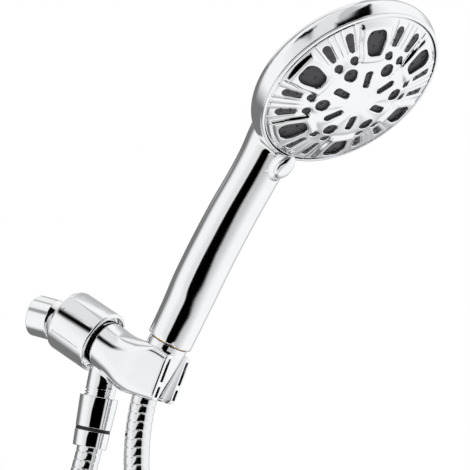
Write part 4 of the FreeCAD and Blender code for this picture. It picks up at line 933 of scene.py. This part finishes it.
# %% Room that the mirrors see
TO_DEGREES = 180 / math.pi
ROOM = [
    ("azimuth", "ARCTAN2", "y", "x"),
    ("azimuth", "MULTIPLY", "azimuth", TO_DEGREES),
    ("height", "ARCSINE", "z"),
    ("height", "MULTIPLY", "height", TO_DEGREES),
    # a tent on the left, bright towards the front, with a pale sky far behind it and a soft roof
    ("tent", "SMOOTH", "azimuth", -120, -88, 0.2, 1.0),
    ("behind", "SMOOTH", "azimuth", -148, -112, 0.95, 0.0),
    ("sky", "SMOOTH", "height", 18, 32, 0.0, 1.0),
    ("behind", "MULTIPLY", "behind", "sky"),
    ("tent", "MAXIMUM", "tent", "behind"),
    ("roof", "SMOOTH", "height", 40, 58, 0.0, 0.5),
    ("tent", "MAXIMUM", "tent", "roof"),
    ("shade", "SMOOTH", "azimuth", -66, -40, 0.0, 0.18),
    ("tent", "SUBTRACT", "tent", "shade"),
    # a grey wall on the right, brighter towards the side and darker far behind
    ("wall", "SMOOTH", "azimuth", 20, 90, 0.6, 1.02),
    ("fall", "SMOOTH", "azimuth", 135, 165, 0.0, 0.5),
    ("wall", "SUBTRACT", "wall", "fall"),
    ("change", "SUBTRACT", "wall", "tent"),
    ("right_half", "SMOOTH", "azimuth", 0, 4, 0.0, 1.0),
    ("pale", "MULTIPLY_ADD", "change", "right_half", "tent"),
    # the left edge of the dark opening steps to the right above the horizon, and leans over further up and down
    ("shift", "SMOOTH", "height", -6, 5, 0.0, 27.0),
    ("above", "SUBTRACT", "height", 38),
    ("above", "MAXIMUM", "above", 0),
    ("shift", "MULTIPLY_ADD", "above", 2.5, "shift"),
    ("below", "ADD", "height", 15),
    ("below", "MINIMUM", "below", 0),
    ("shift", "MULTIPLY_ADD", "below", 0.45, "shift"),
    ("left", "SUBTRACT", "azimuth", "shift"),
    ("left", "SMOOTH", "left", -33, -26, 0.0, 1.0),
    # its right edge leans over as well, and its sill rises towards the right
    ("lean", "SUBTRACT", "height", 42),
    ("lean", "MAXIMUM", "lean", 0),
    ("lean", "MULTIPLY", "lean", 1.2),
    ("right", "SUBTRACT", "azimuth", "lean"),
    ("right", "SMOOTH", "right", 40, 48, 1.0, 0.0),
    ("sill", "SMOOTH", "azimuth", -12, 4, 0.0, 22.0),
    ("bottom", "SUBTRACT", "height", "sill"),
    ("bottom", "SMOOTH", "bottom", -55, -49, 0.0, 1.0),
    ("top", "SMOOTH", "height", 62, 74, 1.0, 0.0),
    ("dark", "MULTIPLY", "left", "right"),
    ("dark", "MULTIPLY", "dark", "bottom"),
    ("dark", "MULTIPLY", "dark", "top"),
    # a dark gap between the tent and its roof
    ("gap", "SMOOTH", "height", 16, 28, 0.0, 1.0),
    ("edge", "SMOOTH", "height", 34, 46, 1.0, 0.0),
    ("gap", "MULTIPLY", "gap", "edge"),
    ("edge", "SMOOTH", "azimuth", -60, -52, 0.0, 1.0),
    ("gap", "MULTIPLY", "gap", "edge"),
    ("edge", "SMOOTH", "azimuth", -32, -26, 1.0, 0.0),
    ("gap", "MULTIPLY", "gap", "edge"),
    ("dark", "MAXIMUM", "dark", "gap"),
    ("open", "SUBTRACT", 1, "dark"),
    ("level", "MULTIPLY", "pale", "open")]

# %% World
SMOOTH_INPUTS = ("Value", "From Min", "From Max", "To Min", "To Max")
world = bpy.data.worlds.new("studio")
bpy.context.scene.world = world
world.use_nodes = True
world.node_tree.nodes.clear()
to_camera = math.atan2(EYE.y - AIM.y, EYE.x - AIM.x)
place = add_node(world, "ShaderNodeTexCoord")
turned = add_node(world, "ShaderNodeMapping", {"Vector": place.outputs["Generated"], "Rotation": (0, 0, -to_camera)})
xyz = add_node(world, "ShaderNodeSeparateXYZ", {"Vector": turned.outputs["Vector"]})
results = {axis.lower(): xyz.outputs[axis] for axis in "XYZ"}
for name, kind, *given in ROOM:
    given = [results[g] if isinstance(g, str) else g for g in given]
    if kind == "SMOOTH":
        node = add_node(world, "ShaderNodeMapRange", dict(zip(SMOOTH_INPUTS, given)), interpolation_type="SMOOTHSTEP")
    else:
        node = add_node(world, "ShaderNodeMath", dict(enumerate(given)), operation=kind)
    results[name] = node.outputs[0]
level = results["level"]
grey = add_node(world, "ShaderNodeCombineColor", {"Red": level, "Green": level, "Blue": level})
mirror = add_node(world, "ShaderNodeBackground", {"Color": grey.outputs["Color"], "Strength": 1.0})
white = add_node(world, "ShaderNodeBackground", {"Color": (1, 1, 1, 1), "Strength": 1.0})
plain = add_node(world, "ShaderNodeBackground", {"Color": (1, 1, 1, 1), "Strength": 0.55})
rays = add_node(world, "ShaderNodeLightPath")
glossy = add_node(world, "ShaderNodeMixShader",
                  {0: rays.outputs["Is Glossy Ray"], 1: plain.outputs[0], 2: mirror.outputs[0]})
seen = add_node(world, "ShaderNodeMixShader",
                {0: rays.outputs["Is Camera Ray"], 1: glossy.outputs[0], 2: white.outputs[0]})
add_node(world, "ShaderNodeOutputWorld", {"Surface": seen.outputs[0]})
bpy.context.scene.view_settings.view_transform = "Standard"
print("room of", len(ROOM), "sums")

# %% [markdown]
# ## Finish
# At the end the view layer is brought up to date.

# %% Finish
bpy.context.view_layer.update()
